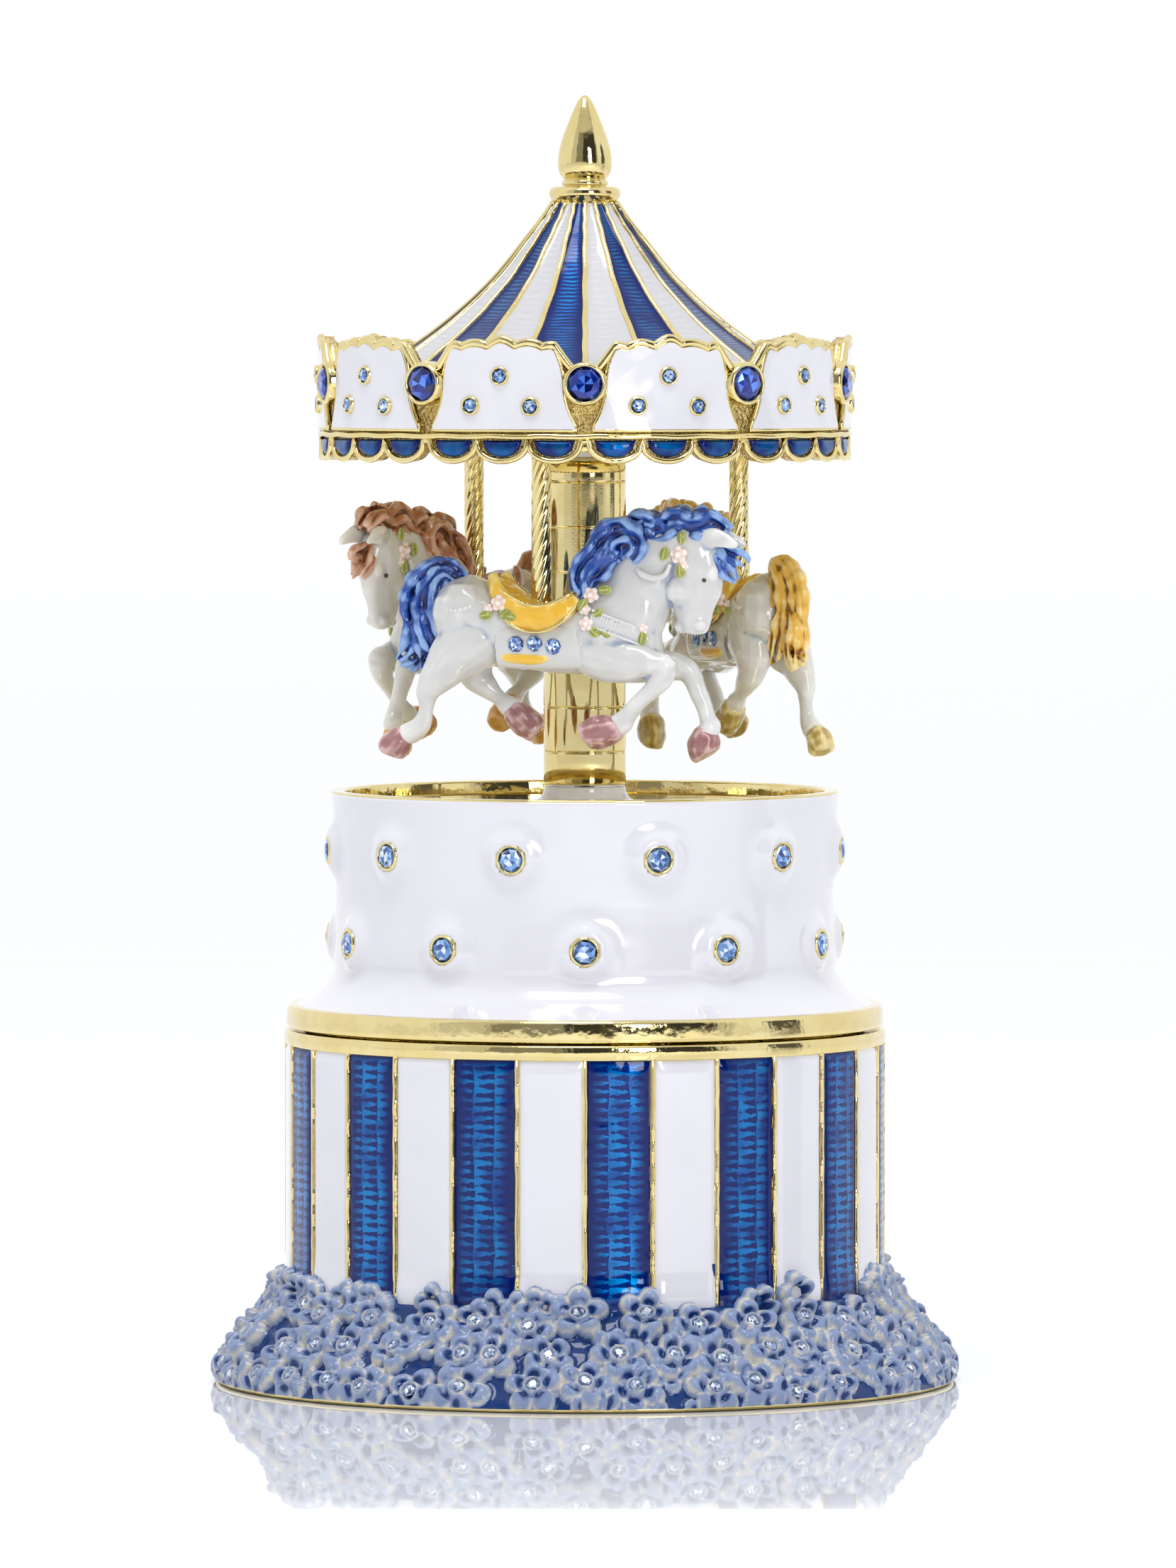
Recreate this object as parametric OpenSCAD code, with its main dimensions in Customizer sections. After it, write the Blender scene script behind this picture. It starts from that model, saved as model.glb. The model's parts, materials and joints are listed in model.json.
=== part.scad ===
// Carousel music box: an enamelled, gold-plated carousel on a white tier and a striped drum.
// The movement sits in the drum. Turning the tier winds its spring, and the spring turns the carousel.

/* [Drum] */
// Radius of the striped drum
drum_r = 42.4; // [38:0.1:52]
// Height of the drum's top edge
drum_h = 49.8; // [48:0.1:62]
// Wall of the drum casting
drum_wall = 2.4; // [1.8:0.1:3]
// Number of blue stripes, with as many white ones between them
stripe_pairs = 14; // [10:1:18]
// Depth of the enamel in its cells
enamel_t = 0.6; // [0.4:0.05:0.9]
// Width of the gold line between two cells
ridge_w = 0.7; // [0.5:0.05:1]

/* [Flowers] */
// Radius of the flower border at the table
skirt_r = 53; // [50:0.1:66]
// Height of the flower border
skirt_h = 14; // [11:0.1:17]
// Radius of one flower
flower_r = 2.8; // [2.4:0.1:2.9]
// Rows of flowers
flower_rows = 3; // [2:1:3]
// Radius of the crystal in a flower
flower_stone_r = 0.95; // [0.7:0.05:1.1]

/* [Tier] */
// Radius of the white tier
tier_r = 35.4; // [32:0.1:39]
// Height of the tier, with its gold flange
tier_h = 33.3; // [28:0.1:42]
// Height of the gold flange
flange_h = 3.1; // [2.5:0.1:4]
// Running gap between the drum and the tier
turn_gap = 0.3; // [0.2:0.05:0.6]
// Crystals in each of the tier's two rows
tier_stones = 11; // [8:1:14]
// Radius of a tier crystal
tier_stone_r = 1.75; // [1.3:0.05:2.2]
// Depth of the recessed gold floor under the tier's rim
floor_recess = 2.0; // [1.5:0.1:3]

/* [Column] */
// Radius of the gold column
column_r = 5.8; // [5:0.1:7]
// Height of the gold column
column_h = 46.2; // [43:0.1:60]
// Wall of the gold column
column_wall = 0.6; // [0.4:0.05:0.9]
// Height of the white foot bush under the column
bush_h = 2.6; // [1.8:0.1:4]
// Radius of the steel spindle through the column
spindle_r = 1.5; // [1.2:0.05:1.8]

/* [Canopy] */
// Radius of the crown
crown_r = 37.4; // [35:0.1:45]
// Thickness of the crown
crown_t = 2.2; // [1.6:0.1:2.6]
// Number of crown panels
crown_panels = 10; // [8:1:12]
// Height of a crown panel at its peak
panel_h = 13.6; // [11:0.1:16]
// Depth of a scallop below the crown
scallop_h = 3.9; // [3:0.1:5]
// Radius of a large crown stone
gem_r = 2.4; // [1.9:0.05:2.8]
// Radius of a small crown stone
crown_stone_r = 1.0; // [0.8:0.05:1.3]
// Height of the roof
roof_h = 25.6; // [20:0.1:32]
// Height of the finial with its collar
finial_h = 15.6; // [12:0.1:20]

/* [Horses] */
// Radius of the circle that the poles stand on
orbit_r = 22.5; // [20:0.1:24.5]
// Number of horses
horses = 3; // [2:1:3]
// Turn of the first horse from the front
first_horse_turn = -15.5; // [-60:0.5:60]
// Radius of a twisted pole
pole_r = 1.45; // [1.1:0.05:1.8]
// Length of a pole from the ceiling into the saddle
pole_l = 25.6; // [24:0.1:36]
// Size of a horse, where 1 is 49 mm from tail to brow
horse_size = 1; // [0.9:0.01:1.05]

/* [Movement] */
// Radius of the spring barrel
barrel_r = 13; // [11:0.1:13.5]
// Teeth on the barrel's crown wheel
crown_teeth = 60; // [48:12:72]
// Teeth on the cylinder's pinion
pinion_teeth = 12; // [12:1:12]
// Radius of the pinned cylinder
cylinder_r = 6; // [5:0.1:6.3]
// Length of the pinned cylinder
cylinder_l = 13; // [10:0.1:13.2]
// Notes, which are the teeth of the comb
notes = 18; // [12:1:22]
// Teeth on the cylinder's end wheel
end_teeth = 36; // [30:1:36]
// Teeth on the worm wheel
worm_teeth = 24; // [24:1:24]

/* [Hidden] */
$fn = 96;

gold = "goldenrod";
pale = "ghostwhite";
royal = "mediumblue";
steel = "silver";
brass = "darkgoldenrod";
ice = "lightskyblue";

fit_gap = 0.02;      // between an inlay and its cell
run_gap = 0.05;      // radial, between a shaft and its bore
face_gap = 0.15;      // between faces that turn past each other
screw_r = 1.0;
screw_head_r = 1.9;
screw_head_h = 0.9;

// heights of the stack, from the table up
drum_in_r = drum_r - drum_wall;
stripe_top = drum_h - 2;
stripe_bottom = 3;
flange_z = drum_h + turn_gap;
rim_z = drum_h + tier_h + turn_gap;
floor_z = rim_z - floor_recess;
floor_t = 1.5;
column_z = floor_z + bush_h + face_gap;
column_top = column_z + column_h;
ceiling_z = column_top + 1.1;
ceiling_t = 1.5;
band_z = ceiling_z + 2.5;
roof_z = band_z + 6.3;
roof_top = roof_z + roof_h;
roof_in_r = 4.4;
crown_in_r = crown_r - crown_t;
roof_out_r = crown_in_r - 0.4;
saddle_z = ceiling_z + ceiling_t - pole_l;

// movement heights
plate_z = 1.2;
plate_t = 1.6;
bed_z = 6;
bed_t = 2;
axis_z = 17;
mod = 31 / crown_teeth;                   // module of the crown wheel and its pinion
crown_mid_r = mod * crown_teeth / 2;
pinion_r = mod * pinion_teeth / 2;
wheel_z = axis_z + pinion_r + 1.05 * mod; // underside of the crown wheel's disc
wheel_t = 1.8;
barrel_z = wheel_z + wheel_t;
barrel_h = 11;
bridge_z = barrel_z + barrel_h + 1.2;
bridge_t = 2;
spider_t = 1.5;
spider_z = flange_z + 1 - spider_t;
sleeve_r = spindle_r + run_gap + 1.1;

// horizontal train, measured out from the spindle along +X
end_mod = 0.45;
end_wheel_x = 18.2;
end_wheel_t = 1;
gov_pinion_teeth = 12;
gov_y = end_mod * (end_teeth + gov_pinion_teeth) / 2;
bearing_x = 19.6;
bearing_t = 1;
worm_mod = 0.5;
worm_wheel_x = 21.2;
worm_wheel_t = 0.7;
worm_wheel_r = worm_mod * worm_teeth / 2;
worm_r = 1.55;
worm_y = gov_y + worm_wheel_r + worm_r;
worm_x = worm_wheel_x + worm_wheel_t / 2;
cylinder_x = 23.2;
arbor_r = 1;
pin_h = 0.6;

// ---- shapes used by several parts ----

module tube(outer, inner, h) {
  difference() {
    cylinder(r = outer, h = h);
    translate([0, 0, -1]) cylinder(r = inner, h = h + 2);
  }
}

module ring_of(count, radius, turn = 0) {
  for (i = [0:count - 1])
    rotate([0, 0, turn + i * 360 / count]) translate([radius, 0, 0]) children();
}

// a band of a tube between two heights, over an angle that starts at the X axis
module sector(r_in, r_out, z_low, z_high, angle) {
  rotate_extrude(angle = angle) translate([r_in, z_low]) square([r_out - r_in, z_high - z_low]);
}

// turns a shape that stands along +Z so that it points outward at an angle and height
module outward(angle, radius, z, lean = 0) {
  rotate([0, 0, angle]) translate([radius, 0, z]) rotate([0, 90 - lean, 0]) children();
}

// a brilliant-cut stone, its girdle at z 0 and its table up
module stone(r) {
  translate([0, 0, -r * 0.7]) cylinder(r1 = r * 0.15, r2 = r, h = r * 0.7);
  cylinder(r1 = r, r2 = r * 0.62, h = r * 0.42);
}

// a cup that holds a stone of radius r
module setting(r, rim = 0.55, depth = 1.4) {
  difference() {
    translate([0, 0, -depth]) cylinder(r = r + rim, h = depth + 0.35);
    translate([0, 0, -r * 0.75]) cylinder(r1 = r * 0.2, r2 = r + fit_gap, h = r * 0.75 + 0.001);
    cylinder(r = r + fit_gap, h = 1);
  }
}

module screw(length) {
  cylinder(r = screw_r, h = length);
  translate([0, 0, -screw_head_h]) difference() {
    cylinder(r = screw_head_r, h = screw_head_h + 0.001);
    translate([-screw_head_r, -0.25, -0.01]) cube([2 * screw_head_r, 0.5, 0.5]);
  }
}

// involute gear outline
function involute(base, turn) =
  [base * (cos(turn) + turn * PI / 180 * sin(turn)), base * (sin(turn) - turn * PI / 180 * cos(turn))];
function turned(p, a) = [p[0] * cos(a) - p[1] * sin(a), p[0] * sin(a) + p[1] * cos(a)];
function gear_points(teeth, m, backlash, addendum) =
  let (pitch = m * teeth / 2, base = pitch * cos(20), tip = pitch + addendum * m, root = pitch - 1.25 * m,
       half = 90 / teeth + (tan(20) * 180 / PI - 20) - backlash / pitch * 90 / PI,
       last = sqrt(pow(tip / base, 2) - 1) * 180 / PI,
       first = root > base ? sqrt(pow(root / base, 2) - 1) * 180 / PI : 0,
       steps = 3,
       flank = [for (k = [0:steps]) turned(involute(base, first + (last - first) * k / steps), -half)],
       foot = root < base ? [turned([root, 0], -half)] : [],
       right = concat(foot, flank),
       left = [for (k = [len(right) - 1:-1:0]) [right[k][0], -right[k][1]]],
       one = concat(right, left))
  [for (t = [0:teeth - 1]) for (p = one) turned(p, t * 360 / teeth)];

module gear(teeth, m, thickness, backlash, addendum = 1) {
  linear_extrude(thickness) polygon(gear_points(teeth, m, backlash, addendum));
}

// lies a shape that stands along +Z along +X instead, keeping its first tooth on +Y
module along_x(x, y, z) {
  translate([x, y, z]) rotate([90, 0, 90]) children();
}

// ---- drum ----

module drum_shell_profile() {
  polygon([
    [drum_in_r, 0], [skirt_r - 1, 0], [skirt_r, 0.5], [skirt_r, 1.2], [drum_r + 0.6, 1.2], [drum_r, 2],
    [drum_r, drum_h - 0.3], [drum_r - 0.3, drum_h], [drum_in_r, drum_h], [drum_in_r, drum_h - 6],
    [drum_in_r - 2.6, drum_h - 6], [drum_in_r - 2.6, drum_h - 7], [drum_in_r, drum_h - 9.6],
    [drum_in_r, 1]
  ]);
}

module stripe_cell(index, out, gap) {
  pitch = 180 / stripe_pairs;
  margin = (ridge_w / 2 + gap) / drum_r * 180 / PI;
  rotate([0, 0, -90 + index * pitch + margin])
    sector(drum_r - enamel_t + gap, drum_r + out, stripe_bottom + gap, stripe_top - gap,
      pitch - 2 * margin);
}

lug_r = 4.4;
lug_orbit = drum_in_r - 4;
lug_turn = 60;
module drum_casting() {
  color(gold) difference() {
    union() {
      rotate_extrude() drum_shell_profile();
      ring_of(3, lug_orbit, lug_turn) translate([0, 0, plate_z + plate_t]) cylinder(r = lug_r, h = 6);
    }
    for (i = [0:2 * stripe_pairs - 1]) stripe_cell(i, 1, 0);
    ring_of(3, lug_orbit, lug_turn) translate([0, 0, plate_z]) cylinder(r = screw_r + fit_gap, h = 6);
  }
}

module stripe_enamel(first) {
  for (i = [first:2:2 * stripe_pairs - 1]) stripe_cell(i, 0, fit_gap);
}

module blue_stripe_enamel() { color(royal) stripe_enamel(0); }
module white_stripe_enamel() { color(pale) stripe_enamel(1); }

// ---- flowers ----

border_in_r = drum_r + 0.1;
border_z = 1.3;
slope_in_r = drum_r + 1.0;
slope_out_r = skirt_r - 1.9;
function slope_r(u) = slope_in_r + (slope_out_r - slope_in_r) * (1 - u);
slope_foot_z = 2.6;
slope_rise = skirt_h - 3.4;
function slope_z(u) = slope_foot_z + slope_rise * u;

module flower_border() {
  color("steelblue") rotate_extrude() polygon(concat(
    [[border_in_r, border_z + 0.9], [border_in_r + 0.7, border_z]],
    [[slope_out_r + (slope_foot_z - border_z) * (slope_out_r - slope_in_r) / slope_rise, border_z]],
    [[slope_in_r, slope_z(1)], [border_in_r, skirt_h - 0.2]]
  ));
}

function flower_count(row) = floor(2 * PI * slope_r((row + 0.35) / flower_rows) / (2.7 * flower_r));
function flower_u(row) = (row + 0.35) / flower_rows;
flower_lean = atan2(slope_out_r - slope_in_r, slope_rise);

module each_flower() {
  for (row = [0:flower_rows - 1]) for (i = [0:flower_count(row) - 1])
    outward(-90 + (i + 0.5 * (row % 2)) * 360 / flower_count(row), slope_r(flower_u(row)),
      slope_z(flower_u(row)),
            flower_lean) rotate([0, 0, 31 * (i + row)]) children();
}

flower_t = 1.1;
module flowers() {
  color("lightsteelblue") each_flower() translate([0, 0, fit_gap]) linear_extrude(flower_t)
    polygon([for (k = [0:9]) flower_r * (k % 2 == 0 ? 1 : 0.78) * [cos(36 * k), sin(36 * k)]]);
}

module flower_crystals() {
  color(ice) each_flower() translate([0, 0, flower_t + 2 * fit_gap])
    cylinder(r1 = flower_stone_r, r2 = flower_stone_r * 0.6, h = 0.5);
}

// ---- base plate and movement frame ----

pillar_turn = 60;
pillar_orbit = 27;
plate_r = drum_in_r - 0.3;
module base_plate() {
  color(brass) difference() {
    translate([0, 0, plate_z + fit_gap]) cylinder(r = plate_r, h = plate_t - 2 * fit_gap);
    ring_of(3, lug_orbit, lug_turn) cylinder(r = screw_r + 0.2, h = 9);
    ring_of(3, pillar_orbit, pillar_turn) cylinder(r = screw_r + 0.2, h = 9);
  }
}

module base_plate_screws() {
  color(steel) ring_of(3, lug_orbit, lug_turn) translate([0, 0, plate_z]) screw(6 - 0.4);
}

module movement_pillars() {
  color(brass) ring_of(3, pillar_orbit, pillar_turn) translate([0, 0, plate_z + plate_t])
    tube(2.6, screw_r + 0.1, bed_z - plate_z - plate_t - fit_gap);
}

module movement_screws() {
  color(steel) ring_of(3, pillar_orbit, pillar_turn) translate([0, 0, plate_z]) screw(bed_z - plate_z +
    bed_t - 0.3);
}

bed_r = 34.5;
module movement_bedplate() {
  color("darkgray") difference() {
    intersection() {
      translate([0, 0, bed_z]) cylinder(r = bed_r + 4, h = bed_t);
      translate([-30, -26, bed_z]) cube([30 + bed_r + 5, 52, bed_t]);
    }
    translate([0, 0, bed_z - 1]) cylinder(r = spindle_r + run_gap, h = bed_t + 2);
    ring_of(3, pillar_orbit, pillar_turn) translate([0, 0, bed_z - 1]) cylinder(r = screw_r + fit_gap,
      h = bed_t + 2);
  }
}

post_y = 20.5;
post_r = 2.3;
module bridge_posts() {
  color(brass) for (side = [-1, 1]) translate([0, side * post_y, bed_z + bed_t + fit_gap])
    cylinder(r = post_r, h = bridge_z - bed_z - bed_t - 2 * fit_gap);
}

module movement_bridge() {
  color(brass) difference() {
    union() {
      translate([-5, -post_y, bridge_z]) cube([10, 2 * post_y, bridge_t]);
      for (side = [-1, 1]) translate([0, side * post_y, bridge_z]) cylinder(r = 5, h = bridge_t);
    }
    translate([0, 0, bridge_z - 1]) cylinder(r = sleeve_r + run_gap, h = bridge_t + 2);
  }
}

clutch_turns = 5;
clutch_wire = 0.4;
module clutch_spring() {
  color(steel) for (k = [0:clutch_turns - 1])
    translate([0, 0, bridge_z + bridge_t + clutch_wire + 0.03 + k * (2 * clutch_wire + 0.03)])
      rotate_extrude() translate([sleeve_r + run_gap + clutch_wire, 0]) circle(r = clutch_wire, $fn = 24);
}

// ---- bearings, governor frame and comb ----

module front_bearing_plate() {
  color(brass) difference() {
    translate([bearing_x, -4, bed_z + bed_t + fit_gap]) cube([bearing_t, gov_y + 7, axis_z +
      3 - bed_z - bed_t]);
    along_x(bearing_x - 1, 0, axis_z) cylinder(r = arbor_r + run_gap, h = 3);
    along_x(bearing_x - 1, gov_y, axis_z) cylinder(r = arbor_r * 0.7 + run_gap, h = 3);
  }
}

rear_post_x = cylinder_x + cylinder_l + 0.5;
module rear_bearing_post() {
  color(brass) difference() {
    translate([rear_post_x, -3, bed_z + bed_t + fit_gap]) cube([1.4, 6, axis_z + 3 - bed_z - bed_t]);
    along_x(rear_post_x - 1, 0, axis_z) cylinder(r = arbor_r + run_gap, h = 4);
  }
}

worm_bottom = axis_z - 5;
worm_top = axis_z + 5;
fan_z = worm_top + 1;
fan_h = 5;
fan_r = 5;
module governor_bracket() {
  color(brass) difference() {
    union() {
      translate([worm_x - 3, worm_y - 1.6, bed_z + bed_t + fit_gap]) cube([6, 8.6,
        worm_bottom - bed_z - bed_t - 0.1]);
      translate([worm_x - 3, worm_y + fan_r + 0.6, bed_z + bed_t + fit_gap])
        cube([6, 1.4, fan_z + fan_h + 2.2 - bed_z - bed_t]);
      translate([worm_x - 3, worm_y - 2, fan_z + fan_h + 0.8]) cube([6, fan_r + 4, 1.4]);
      translate([worm_x - 2, gov_y - 2, bed_z + bed_t + fit_gap]) translate([3.2, 0, 0])
        cube([1.2, 4, axis_z + 2 - bed_z - bed_t]);
      translate([worm_x + 1.2, gov_y - 2, bed_z + bed_t + fit_gap]) cube([1.2, worm_y - gov_y + 2, 2]);
    }
    translate([worm_x, worm_y, worm_bottom - 2]) cylinder(r = 0.6 + run_gap, h = 2.5);
    translate([worm_x, worm_y, fan_z + fan_h]) cylinder(r = 0.6 + run_gap, h = 4);
    along_x(worm_x, gov_y, axis_z) cylinder(r = arbor_r * 0.7 + run_gap, h = 4);
  }
}

comb_tip_y = cylinder_r + pin_h + 0.1;
comb_l = 13;
comb_root = 4;
// the room that the drum's wall leaves for the movement
module inside_drum() {
  cylinder(r = drum_in_r - 1, h = drum_h);
}

module comb_seat() {
  color("darkgray") difference() {
    intersection() {
      translate([cylinder_x, -comb_tip_y - comb_l, bed_z + bed_t + fit_gap])
        cube([cylinder_l, comb_root + 0.5, axis_z - 0.6 - bed_z - bed_t - 2 * fit_gap]);
      inside_drum();
    }
    comb_screw_places() translate([0, 0, -5]) cylinder(r = screw_r + fit_gap, h = 9);
  }
}

module comb_screw_places() {
  for (k = [0.2, 0.62]) translate([cylinder_x + k * cylinder_l, -comb_tip_y - comb_l + comb_root / 2,
    axis_z])
    children();
}

module comb() {
  tooth = cylinder_l / notes;
  color("gainsboro") difference() {
    intersection() {
      translate([cylinder_x, -comb_tip_y - comb_l, axis_z - 0.6]) cube([cylinder_l, comb_l, 1.2]);
      inside_drum();
    }
    for (k = [1:notes - 1]) translate([cylinder_x + k * tooth - 0.08, -comb_tip_y - comb_l + comb_root,
      axis_z - 1])
      cube([0.16, comb_l, 2]);
    translate([cylinder_x - 1, -comb_tip_y - comb_l + comb_root, axis_z + 0.2]) cube([cylinder_l + 2,
      comb_l, 1]);
    comb_screw_places() translate([0, 0, -2]) cylinder(r = screw_r + 0.1, h = 4);
  }
}

module comb_screws() {
  color(steel) comb_screw_places() translate([0, 0, 0.6 + fit_gap]) mirror([0, 0, 1]) screw(4.5);
}

module turntable_washer() {
  color("whitesmoke") translate([0, 0, drum_h - 6 + fit_gap]) tube(drum_in_r - 0.1, drum_in_r - 2.4,
    1 - face_gap - fit_gap);
}

// ---- tier ----

tier_core_r = tier_r - enamel_t;
flange_r = drum_r - 0.3;
fillet_r = 5;
flange_top = flange_z + flange_h;
function flare(r0, k) = [r0 + fillet_r - fillet_r * cos(k), flange_top + fillet_r - fillet_r * sin(k)];

spigot_r = drum_in_r - 0.4;
spigot_in_r = spigot_r - 1.5;
spider_orbit = tier_core_r - 2.4;
module tier_casting() {
  color(gold) difference() {
    rotate_extrude() polygon(concat(
      [[spigot_in_r, drum_h - 5], [spigot_r, drum_h - 5], [spigot_r, flange_z], [flange_r, flange_z],
       [flange_r, flange_top - 0.3], [flange_r - 0.3, flange_top]],
      [[tier_core_r + fillet_r, flange_top]],
      [for (k = [75:-15:0]) flare(tier_core_r, k)],
      [[tier_core_r, rim_z - 0.5], [tier_r - 0.1, rim_z - 0.5], [tier_r - 0.1, rim_z], [tier_r - 1.3,
        rim_z],
       [tier_r - 1.3, floor_z - floor_t], [tier_core_r - 2.9, floor_z - floor_t],
       [tier_core_r - 2.9, floor_z - floor_t - 2], [tier_core_r - 1.4, floor_z - floor_t - 4],
       [tier_core_r - 1.4, flange_z + 4.4], [tier_core_r - 4, flange_z + 4.4],
       [tier_core_r - 4, flange_z + 1], [spigot_in_r, flange_z + 1]]
    ));
    for (row = [0, 1]) for (i = [0:tier_stones - 1]) tier_stone_at(row, i) cylinder(r = tier_stone_r +
      0.6, h = 6, center = true);
    ring_of(3, spider_orbit, lug_turn) translate([0, 0, flange_z]) cylinder(r = screw_r + fit_gap, h = 4);
  }
}

module tier_stone_at(row, i) {
  z = flange_top + (row == 0 ? 0.31 : 0.73) * (rim_z - flange_top);
  outward(-90 + (i + 0.5 * row) * 360 / tier_stones, tier_r, z) children();
}

module tier_enamel() {
  color(pale) difference() {
    rotate_extrude() polygon(concat(
      [for (k = [75:-15:0]) flare(tier_core_r + fit_gap, k) + [0, fit_gap]],
      [[tier_core_r + fit_gap, rim_z - 0.5 - fit_gap], [tier_r, rim_z - 0.5 - fit_gap]],
      [for (k = [0:15:60]) flare(tier_r, k)],
      [[tier_r + 3.9, flange_top + 0.45], [flange_r - 0.6, flange_top + 0.3], [flange_r - 0.6,
        flange_top + fit_gap]]
    ));
    for (row = [0, 1]) for (i = [0:tier_stones - 1]) tier_stone_at(row, i) cylinder(r = tier_stone_r +
      0.6, h = 6, center = true);
  }
}

module tier_crystal_settings() {
  color(gold) for (row = [0, 1]) for (i = [0:tier_stones - 1]) tier_stone_at(row, i) translate([0, 0,
    0.3]) setting(tier_stone_r);
}

module tier_crystals() {
  color(ice) for (row = [0, 1]) for (i = [0:tier_stones - 1]) tier_stone_at(row, i) translate([0, 0,
    0.3 + fit_gap]) stone(tier_stone_r);
}

module tier_floor() {
  color(gold) difference() {
    translate([0, 0, floor_z - floor_t + fit_gap]) cylinder(r = tier_r - 1.3 - fit_gap,
      h = floor_t - fit_gap);
    translate([0, 0, floor_z - floor_t - 1]) cylinder(r = column_r - 1.2, h = floor_t + 2);
  }
}

module column_foot_bush() {
  color("white") rotate_extrude() polygon([
    [spindle_r + run_gap, floor_z - floor_t], [column_r - 1.25, floor_z - floor_t], [column_r - 1.25,
      floor_z + fit_gap],
    [column_r + 1.7, floor_z + fit_gap], [column_r + 0.7, floor_z + 0.25 * bush_h], [column_r + 0.1,
      floor_z + 0.6 * bush_h],
    [column_r - 0.1, floor_z + bush_h],
    [spindle_r + run_gap, floor_z + bush_h]
  ]);
}

module drive_spider() {
  color(brass) difference() {
    translate([0, 0, spider_z - fit_gap]) cylinder(r = spigot_in_r - 0.3, h = spider_t);
    ring_of(6, 19) translate([0, 0, spider_z - 1]) cylinder(r = 7, h = spider_t + 2);
    translate([0, 0, spider_z - 1]) cylinder(r = sleeve_r + fit_gap, h = spider_t + 2);
    ring_of(3, spider_orbit, lug_turn) translate([0, 0, spider_z - 1]) cylinder(r = screw_r + 0.2,
      h = spider_t + 2);
  }
}

module spider_screws() {
  color(steel) ring_of(3, spider_orbit, lug_turn) translate([0, 0, spider_z - 2 * fit_gap])
    screw(spider_t + 2.4);
}

spring_arbor_r = 3.4;
module winding_sleeve() {
  color(steel) difference() {
    union() {
      translate([0, 0, barrel_z + 1.3]) cylinder(r = sleeve_r, h = spider_z + spider_t +
        2 - barrel_z - 1.3);
      translate([0, 0, barrel_z + 1.3]) cylinder(r = spring_arbor_r, h = barrel_h - 2.7);
      translate([0, 0, spider_z - 1.2 - 2 * fit_gap]) cylinder(r = sleeve_r + 1.6, h = 1.2);
    }
    translate([0, 0, barrel_z]) cylinder(r = spindle_r + run_gap, h = spider_z);
  }
}

// ---- carousel: what the spring turns ----

spindle_top = roof_top + 7;
module spindle() {
  color(steel) {
    translate([0, 0, bed_z - 1]) cylinder(r = spindle_r, h = spindle_top - bed_z + 1);
    translate([0, 0, bed_z + bed_t + 0.3]) cylinder(r = spindle_r + 1, h = 1);
  }
}

module spring_barrel() {
  color(brass) difference() {
    union() {
      translate([0, 0, wheel_z]) cylinder(r = crown_mid_r + 1.4, h = wheel_t);
      translate([0, 0, barrel_z]) tube(barrel_r, barrel_r - 1, barrel_h);
      translate([0, 0, barrel_z]) cylinder(r = barrel_r, h = 1);
      translate([0, 0, barrel_z + barrel_h - 1]) tube(barrel_r, sleeve_r + 0.3, 1);
      crown_wheel_teeth();
    }
    translate([0, 0, wheel_z - 1]) cylinder(r = spindle_r + 0.005, h = wheel_t + 4);
  }
}

module crown_wheel_teeth() {
  half = mod * PI / 4 - 0.08;
  ring_of(crown_teeth, crown_mid_r - 1.3) translate([0, 0, wheel_z + 0.001]) rotate([90, 0, 90])
    linear_extrude(2.6) polygon([
      [-half - mod * 0.36, 0.2], [-half - mod * 0.36, 0], [-half + mod * 0.36, -2 * mod],
      [half - mod * 0.36, -2 * mod], [half + mod * 0.36, 0], [half + mod * 0.36, 0.2]
    ]);
}

spring_turns = 9;
spring_t = 0.3;
function spiral(turn, out) = let (r = spring_arbor_r + 0.3 +
  (barrel_r - 1.5 - spring_arbor_r - 0.6) * turn / (360 * spring_turns) + out)
  [r * cos(turn), r * sin(turn)];
module mainspring() {
  last = 360 * spring_turns;
  color("slategray") translate([0, 0, barrel_z + 1.6]) linear_extrude(barrel_h - 3.2) polygon(concat(
    [for (a = [0:18:last]) spiral(a, 0)], [for (a = [last:-18:0]) spiral(a, spring_t)]
  ));
}

groove_places = [0.13, 0.26, 0.76, 0.875];
module column() {
  color(gold) difference() {
    translate([0, 0, column_z]) tube(column_r, column_r - column_wall, column_h);
    for (k = groove_places) translate([0, 0, column_z + (1 - k) * column_h]) tube(column_r + 1,
      column_r - 0.12, 0.25);
  }
}

hub_h = 6;
module column_hubs() {
  hub_r = column_r - column_wall - fit_gap;
  color("white") {
    translate([0, 0, column_z]) tube(hub_r, spindle_r + 0.005, hub_h);
    translate([0, 0, column_top - hub_h]) tube(hub_r, spindle_r + 0.005, hub_h +
      ceiling_z - column_top - fit_gap);
  }
}

module canopy_ceiling() {
  color(gold) difference() {
    translate([0, 0, ceiling_z]) cylinder(r = crown_in_r - fit_gap, h = ceiling_t);
    translate([0, 0, ceiling_z - 1]) cylinder(r = spindle_r + 0.005, h = ceiling_t + 2);
    ring_of(horses, orbit_r, first_horse_turn - 90) translate([0, 0, ceiling_z - 1])
      cylinder(r = pole_r - 0.35, h = ceiling_t + 2);
  }
}

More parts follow.
